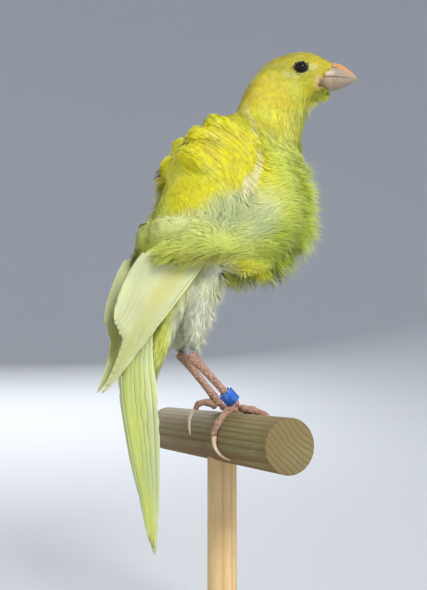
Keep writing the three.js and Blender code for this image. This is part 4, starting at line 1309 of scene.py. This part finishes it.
horn = Finish("horn", Roughness=0.38, Specular_IOR_Level=0.4, Subsurface_Weight=0.15,
              Subsurface_Radius=(0.004, 0.002, 0.001), Subsurface_Scale=0.3)
local = horn.framed(
    horn.place(), Location=(BIRD_AT + HEAD_AT) * MM, Rotation=(0, 0, HEAD_TURN), Scale=(MM, MM, MM)
)
height = horn.along(local, 2)
length = horn.along(local, 0)
grain = horn.noise(local, 1.2, 4, (0.35, 2.2, 2.2))
slope = height + length * 0.36
colour = horn.mix(horn.between(grain, 0.35, 0.65), HORN, HORN_PALE)
colour = horn.mix(horn.between(slope, 4.4, 6.0) * 0.85, colour, HORN_ORANGE)
colour = horn.mix(horn.between(length, 14.5, 19.0, 0.0, 0.55), colour, HORN_PALE)
colour = horn.mix(1 - horn.between(length, 9.0, 11.5, 0.35, 1.0), colour, HORN_ROOT)
# Painted shade in the hollow of each nostril.
off_nostril = horn.vector("DISTANCE", horn.vector("ABSOLUTE", local), NOSTRIL_AT, out="Value")
colour = horn.mix(1 - horn.between(off_nostril, 0.35, 0.75), colour, NOSTRIL_SHADOW)
horn.feed("Base Color", colour)
horn.feed("Roughness", horn.between(grain, 0.3, 0.7, 0.30, 0.46))
horn.feed("Normal", horn.bump(grain, 0.0002, 0.3))

for name, above, shrink in (
    ("bill_upper_horn", True, 1.0), ("bill_lower_horn", False, LOWER_SHRINK),
):
    bm = bmesh.new()
    sweep(bm, [(x, y, z, f, b * shrink, h * shrink) for x, y, z, f, b, h in BILL_SECTIONS],
          facing=(0, 0, 1), sides=64, rings=72, ends=0.1)
    for vert in bm.verts:
        folded = Vector((vert.co.x, abs(vert.co.y), vert.co.z))
        near = max(0, 1 - ((folded - Vector(NOSTRIL_AT)).length / NOSTRIL_RADIUS) ** 2)
        vert.co.y -= math.copysign(NOSTRIL_DEPTH * near, vert.co.y)
    cut_at = Vector(MOUTH_AT) - Vector((0, 0, 0 if above else MOUTH_GAP))
    cut_away = Vector(MOUTH_NORMAL) * (-1 if above else 1)
    edge = bmesh.ops.bisect_plane(
        bm, geom=bm.verts[:] + bm.edges[:] + bm.faces[:], dist=1e-5, plane_co=cut_at,
        plane_no=cut_away, clear_outer=True,
    )["geom_cut"]
    bmesh.ops.holes_fill(bm, edges=[part for part in edge if isinstance(part, bmesh.types.BMEdge)])
    bmesh.ops.transform(bm, matrix=HEAD_PLACE, verts=bm.verts)
    bill = finished(name, bm, horn.material, "horn", "bill_upper" if above else "bill_lower")
    bill.data.set_sharp_from_angle(angle=math.radians(50))

# Eyes. Glass-like, almost black and glossy, a little wider than tall, each in a thin dark lid
# with a beaded pale rim of bare skin.
EYE_RADIUS = 2.15
EYE_FLATTENING = 0.86
LID_SHAPE = (1.05, 1, 0.84)
LID_STEPS = 48
BEAD_RISE = 0.06
eye_finish = Finish("eye", Roughness=0.08, Specular_IOR_Level=0.22)
place = eye_finish.place()
iris = eye_finish.noise(place, 700, 3)
eye_finish.feed("Base Color", eye_finish.mix(
    eye_finish.between(iris, 0.4, 0.7), (0.006, 0.004, 0.004, 1), (0.018, 0.010, 0.006, 1),
))
lid_finish = Finish("lid_skin", Roughness=0.5)
place = lid_finish.place()
beads = lid_finish.noise(place, 1800, 2)
lid_finish.feed("Base Color", lid_finish.mix(
    lid_finish.between(beads, 0.35, 0.65), (0.010, 0.008, 0.006, 1), (0.04, 0.032, 0.016, 1),
))
lid_finish.feed("Normal", lid_finish.bump(beads, 0.0001, 0.6))
rim_finish = Finish("lid_rim", Roughness=0.6)
place = rim_finish.place()
beads = rim_finish.noise(place, 1500, 2)
rim_finish.feed("Base Color", rim_finish.mix(
    rim_finish.between(beads, 0.40, 0.52), (0.06, 0.05, 0.02, 1), (0.62, 0.58, 0.16, 1),
))
rim_finish.feed("Normal", rim_finish.bump(beads, 0.00015, 0.8))

for side, word in ((-1, "right"), (1, "left")):
    bm = bmesh.new()
    ball = bmesh.ops.create_uvsphere(bm, u_segments=40, v_segments=24, radius=EYE_RADIUS)["verts"]
    bmesh.ops.scale(bm, vec=(1.0, 1.0, EYE_FLATTENING), verts=ball)
    bmesh.ops.translate(bm, vec=(EYE_AT[0], side * EYE_AT[1], EYE_AT[2]), verts=ball)
    bmesh.ops.transform(bm, matrix=HEAD_PLACE, verts=bm.verts)
    finished(f"eyeball_{word}", bm, eye_finish.material, "eye", f"eye_{word}")
    for name, radius, tube, out, material, beads in (
        ("lid", EYE_RADIUS - 0.02, 0.17, 1.02, lid_finish.material, 0),
        ("lid_rim", EYE_RADIUS + 0.45, 0.28, 0.62, rim_finish.material, 26),
    ):
        bm = bmesh.new()
        bmesh.ops.create_circle(bm, segments=10, radius=tube)
        bmesh.ops.translate(bm, vec=(radius, 0, 0), verts=bm.verts)
        spun(bm, LID_STEPS, (0, 1, 0))
        for vert in bm.verts:
            turn = math.atan2(vert.co.z, vert.co.x)
            vert.co.y += BEAD_RISE * math.sin(turn * beads)
        bmesh.ops.scale(bm, vec=LID_SHAPE, verts=bm.verts)
        lid_at = (EYE_AT[0], side * (EYE_AT[1] + out), EYE_AT[2])
        bmesh.ops.translate(bm, vec=lid_at, verts=bm.verts)
        bmesh.ops.transform(bm, matrix=HEAD_PLACE, verts=bm.verts)
        finished(f"{name}_{word}", bm, material, "feather_yellow")

# Feet. Tarsus and toes are one scaly pink skin on each foot, gripping the perch; the claws are pale
# curved horn. Places are given round the perch: degrees from its top forwards, y, and clearance.
PERCH_RADIUS = 7.5
TARSUS_RADIUS = 1.4
TOE_RADIUS = 1.25
CLAW_RADIUS = 0.8
GRIP_GAP = 0.3
FOOT_VOXEL = 0.24
FOOT_SOFTENING = 2
SCUTE_RISE = 0.05
# How much of a foot's lift off the perch each spot of a claw keeps.
CLAW_LIFTS = (0.95, 0.8, 0.4, 0.1)
FEET = {
    "right": {
        "heel": (-15.0, -5.5, 25.0),
        "pad": (0, -7.5, 1.9),
        "toes": [
            [(-8, -7.5), (-30, -8.9), (-57, -9.8), (-85, -8.6)],
            [(4, -7.0), (24, -5.6), (45, -4.4), (64, -3.8)],
            [(6, -7.5), (30, -7.8), (58, -7.6), (86, -7.2)],
            [(4, -8.0), (20, -10.8), (38, -13.4), (55, -15.0)],
        ],
        "lifts": (0, 0, 0, 0),
        "claws": [
            [(-80, -8.6), (-102, -9.0), (-120, -11.4), (-128, -16.2)],
            [(58, -3.8), (80, -3.6), (98, -3.8)],
            [(80, -7.2), (102, -6.9), (122, -7.2)],
            [(49, -14.6), (70, -16.0), (90, -16.6)],
        ],
    },
    "left": {
        "heel": (-14.0, 5.5, 26.0),
        "pad": (0, 4.0, 1.9),
        "toes": [
            [(-8, 4.4), (-22, 5.2), (-34, 6.0), (-44, 6.6)],
            [(4, 3.6), (24, 2.4), (45, 1.4), (64, 1.0)],
            [(6, 4.0), (30, 4.4), (58, 4.6), (86, 4.6)],
            [(4, 4.5), (20, 7.2), (38, 10.0), (55, 11.8)],
        ],
        "lifts": (3.0, 0, 0, 0),
        "claws": [
            [(-40, 6.5), (-56, 7.1), (-72, 7.5), (-88, 7.5)],
            [(58, 1.0), (80, 0.9), (98, 1.1)],
            [(80, 4.6), (102, 4.6), (122, 4.8)],
            [(49, 11.3), (70, 12.6), (90, 13.2)],
        ],
    },
}


def round_perch(angle, y, clear):
    reach = PERCH_RADIUS + clear
    return (reach * math.sin(math.radians(angle)), y, reach * math.cos(math.radians(angle)))


foot_skin = Finish("foot_skin", Roughness=0.5, Specular_IOR_Level=0.35, Subsurface_Weight=0.1,
                   Subsurface_Radius=(0.004, 0.0015, 0.001), Subsurface_Scale=0.3)
place = foot_skin.place()
stretched = foot_skin.node("ShaderNodeMapping", {}, {"Vector": place, "Scale": (1.0, 0.7, 1.0)})
scutes = foot_skin.node(
    "ShaderNodeTexVoronoi", {"feature": "DISTANCE_TO_EDGE"}, {"Vector": stretched, "Scale": 900}
)
cloud = foot_skin.noise(place, 260, 3)
colour = foot_skin.mix(
    foot_skin.between(cloud, 0.35, 0.65), (0.40, 0.22, 0.145, 1), (0.52, 0.32, 0.235, 1)
)
colour = foot_skin.mix(1 - foot_skin.between(scutes, 0.0, 0.12), colour, (0.24, 0.12, 0.075, 1))
foot_skin.feed("Base Color", colour)
foot_skin.feed("Normal", foot_skin.bump(foot_skin.between(scutes, 0.0, 0.25), 0.0002, 0.6))

claw_horn = Finish("claw_horn", Roughness=0.35, Specular_IOR_Level=0.4)
place = claw_horn.place()
grain = claw_horn.noise(place, 500, 4, (1, 1, 0.4))
claw_horn.feed("Base Color", claw_horn.mix(
    claw_horn.between(grain, 0.35, 0.65), (0.62, 0.46, 0.32, 1), (0.76, 0.66, 0.52, 1),
))
claw_horn.feed("Normal", claw_horn.bump(grain, 0.0001, 0.3))


def limb(bm, spots, radius_at, facing, sides=14, rings=40, ends=0.1, scutes=0):
    """Adds a round limb through spots; its radius rises and falls a little at each scute."""
    sections = []
    for t in np.linspace(0, 1, 4 * len(spots)):
        radius = radius_at(t)
        sections.append((*along_rows(spots, t), radius, radius, radius))
    made = sweep(bm, sections, facing=facing, sides=sides, rings=rings, ends=ends)
    for vert in made if scutes else []:
        gaps = [(Vector(row[:3]) - vert.co).length for row in sections]
        t = gaps.index(min(gaps)) / (len(sections) - 1)
        centre = Vector(along_rows(spots, t))
        vert.co += (vert.co - centre).normalized() * SCUTE_RISE * math.sin(t * math.pi * 2 * scutes)


for word, foot in FEET.items():
    pad = round_perch(*foot["pad"])
    heel = foot["heel"]
    middle = tuple((a + b) / 2 for a, b in zip(heel, pad))
    bm = bmesh.new()
    limb(
        bm, [heel, middle, pad],
        lambda t: TARSUS_RADIUS * (1.35 - 0.55 * min(1, 3 * t) + 0.25 * t**4), (1, 0, 0),
        sides=20, rings=70, ends=0.08, scutes=9,
    )
    for toe, lift in zip(foot["toes"], foot["lifts"]):
        spots = [
            round_perch(angle, y, GRIP_GAP + TOE_RADIUS + lift * math.sin(step * math.pi / 4))
            for step, (angle, y) in enumerate(toe)
        ]
        limb(
            bm, spots,
            lambda t: TOE_RADIUS * (1 - 0.3 * t) * (1 + 0.10 * math.cos(t * math.pi * 6)),
            (0, 1, 0), rings=44,
        )
    made = closed_skin(f"foot_skin_{word}", bm, FOOT_VOXEL, FOOT_SOFTENING)
    made.data.shade_smooth()
    made.data.materials.append(foot_skin.material)
    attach(made, "root")
    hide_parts(f"leg_{word}", *[f"toe_{word}_{number}" for number in (1, 2, 3, 4)])
    bm = bmesh.new()
    for claw, lift in zip(foot["claws"], foot["lifts"]):
        spots = [
            round_perch(angle, y, GRIP_GAP + CLAW_RADIUS + lift * kept)
            for (angle, y), kept in zip(claw, CLAW_LIFTS)
        ]
        limb(
            bm, spots, lambda t: CLAW_RADIUS * (1 - 0.82 * t), (0, 1, 0), sides=16, rings=24,
            ends=0.05,
        )
    finished(f"claws_{word}", bm, claw_horn.material, "horn",
             *[f"claw_{word}_{number}" for number in (1, 2, 3, 4)])

# Leg ring. A closed band of blue anodised metal round the right tarsus, its edges rounded.
RING_INNER = 1.8
RING_OUTER = 2.3
RING_HEIGHT = 4.2
RING_STEPS = 64
RING_EDGE = 0.12
# How far down from heel to ankle the ring hangs, as a share.
RING_ALONG = 0.81
heel = Vector(FEET["right"]["heel"])
ankle = Vector(round_perch(*FEET["right"]["pad"]))
ring_turn = Vector((0, 0, 1)).rotation_difference(heel - ankle).to_matrix().to_4x4()
ring_place = Matrix.Translation(heel.lerp(ankle, RING_ALONG)) @ ring_turn
anodised = Finish("blue_metal", Metallic=0.75, Roughness=0.35, Coat_Weight=0.2)
place = anodised.place()
worn = anodised.noise(place, 900, 4)
brushed = anodised.noise(place, 2500, 2, (1, 1, 0.2))
anodised.feed("Base Color", anodised.mix(
    anodised.between(worn, 0.52, 0.72) * 0.55, (0.03, 0.14, 0.55, 1), (0.30, 0.48, 0.80, 1),
))
anodised.feed("Roughness", anodised.between(brushed, 0.3, 0.7, 0.28, 0.45))
bm = bmesh.new()
bmesh.ops.create_grid(bm, x_segments=1, y_segments=1, size=0.5)
bmesh.ops.scale(bm, vec=(RING_OUTER - RING_INNER, RING_HEIGHT, 1), verts=bm.verts)
bmesh.ops.delete(bm, geom=bm.faces[:], context="FACES_ONLY")
bmesh.ops.rotate(bm, matrix=Matrix.Rotation(math.pi / 2, 3, "X"), verts=bm.verts)
bmesh.ops.translate(bm, vec=((RING_OUTER + RING_INNER) / 2, 0, 0), verts=bm.verts)
spun(bm, RING_STEPS, (0, 0, 1))
bmesh.ops.recalc_face_normals(bm, faces=bm.faces)
rim = [edge for edge in bm.edges if edge.calc_face_angle(0) > 1]
bmesh.ops.bevel(
    bm, geom=rim, offset=RING_EDGE, segments=3, affect="EDGES", profile=0.5, material=-1,
)
bmesh.ops.transform(bm, matrix=ring_place, verts=bm.verts)
ring = finished("leg_band", bm, anodised.material, "ring_metal", "leg_ring")
ring.data.set_sharp_from_angle(angle=math.radians(40))

# Perch. A sawn length of softwood dowel, greenish brown with reddish late wood. Its growth rings
# come from far off its middle, so they run as streaks along it and as slanting lines on its ends.
PERCH_HEIGHT = 64
PERCH_LENGTH = 85
PERCH_MIDDLE_Y = 1.7
PERCH_EDGE = 0.35
WOOD_STEPS = 128


def wood(name, axis, heart, ring_gap, early, late, stain, roughness):
    """Softwood whose growth rings stand round a far heart line along the given axis, in mm."""
    finish = Finish(name, Roughness=roughness, Specular_IOR_Level=0.3)
    spot = finish.framed(finish.place(), Scale=(MM, MM, MM))
    stretch = [0.05 if turn == axis else 1.0 for turn in "XYZ"]
    drift = finish.noise(spot, 0.10, 2, stretch)
    flat = finish.vector("MULTIPLY", spot, [0.0 if turn == axis else 1.0 for turn in "XYZ"])
    away = finish.vector("DISTANCE", flat, heart, out="Value")
    ring_number = (away + drift * 3.0) * (1 / ring_gap)
    rings = finish.node("ShaderNodeMath", {"operation": "FRACT"}, {0: ring_number})
    latewood = finish.between(rings, 0.45, 0.95)
    fibre = finish.noise(spot, 2.4, 4, stretch)
    pores = finish.noise(spot, 9.0, 3, stretch)
    cloud = finish.noise(spot, 0.06, 3)
    colour = finish.mix(latewood, early, late)
    colour = finish.mix(finish.between(fibre, 0.35, 0.7) * 0.45, colour, stain)
    colour = finish.mix(finish.between(cloud, 0.4, 0.65) * 0.45, colour, late)
    colour = finish.mix(finish.between(pores, 0.55, 0.75) * 0.3, colour, stain)
    finish.feed("Base Color", colour)
    finish.feed("Roughness", finish.between(pores, 0.3, 0.7, roughness - 0.08, roughness + 0.08))
    finish.feed("Normal", finish.bump(latewood * 0.5 + fibre + pores, 0.00025, 0.5))
    return finish.material


def turned(name, profile, material, slot, *nodes, lay=None, shift=(0, 0, 0)):
    """A piece turned about Z from a profile of radius and height, in the stand's millimetres."""
    bm = turned_profile(profile, WOOD_STEPS)
    if lay is not None:
        bmesh.ops.rotate(bm, matrix=lay, verts=bm.verts)
    bmesh.ops.translate(bm, vec=Vector(shift) - BIRD_AT, verts=bm.verts)
    made = finished(name, bm, material, slot, *nodes)
    made.data.set_sharp_from_angle(angle=math.radians(35))
    return made


def rounded_rod(radius, low, high, edge):
    """The profile of a rod between two heights whose end rims are eased."""
    return [
        (0, low), (radius * 0.5, low), (radius - edge, low),
        (radius - 0.3 * edge, low + 0.3 * edge),
        (radius, low + edge), (radius, (low + high) / 2), (radius, high - edge),
        (radius - 0.3 * edge, high - 0.3 * edge),
        (radius - edge, high), (radius * 0.5, high), (0, high),
    ]


perch_wood = wood(
    "dowel_wood", "Y", (30, 0, 95), 1.5, (0.27, 0.24, 0.105, 1), (0.20, 0.115, 0.04, 1),
    (0.12, 0.125, 0.06, 1), 0.7,
)
perch_profile = rounded_rod(PERCH_RADIUS, -PERCH_LENGTH / 2, PERCH_LENGTH / 2, PERCH_EDGE)
turned(
    "perch_dowel", perch_profile, perch_wood, "dowel_wood", "perch",
    lay=Matrix.Rotation(-math.pi / 2, 3, "X"), shift=(0, PERCH_MIDDLE_Y, PERCH_HEIGHT),
)

# Stand. A pale pine rod let into the underside of the perch, glued into a plain turned pine base.
POST_RADIUS = 4.5
POST_TOP = 59
POST_EDGE = 0.2
GLUE_GAP = 0.3
BASE_RADIUS = 35
BASE_THICKNESS = 8
BASE_EDGE = 1.2
BASE_FOOT_EDGE = 0.4
pine = wood(
    "pine_wood", "Z", (60, 20, 0), 2.2, (0.80, 0.60, 0.31, 1), (0.66, 0.42, 0.19, 1),
    (0.56, 0.40, 0.21, 1), 0.6,
)
post_profile = rounded_rod(POST_RADIUS, BASE_THICKNESS + GLUE_GAP, POST_TOP, POST_EDGE)
turned("post_rod", post_profile, pine, "pine_wood", "stand_post")
base_wood = wood(
    "base_wood", "X", (0, 30, 60), 2.6, (0.74, 0.56, 0.30, 1), (0.60, 0.39, 0.18, 1),
    (0.50, 0.36, 0.19, 1), 0.55,
)
base_profile = [
    (0, 0), (BASE_RADIUS * 0.5, 0), (BASE_RADIUS - BASE_FOOT_EDGE, 0),
    (BASE_RADIUS, BASE_FOOT_EDGE),
]
base_profile += [
    (
        BASE_RADIUS - BASE_EDGE * (1 - math.cos(turn)),
        BASE_THICKNESS - BASE_EDGE * (1 - math.sin(turn)),
    )
    for turn in np.linspace(0, math.pi / 2, 7)
]
base_profile += [(BASE_RADIUS * 0.5, BASE_THICKNESS), (0, BASE_THICKNESS)]
turned("base_disc", base_profile, base_wood, "pine_wood", "stand_base")
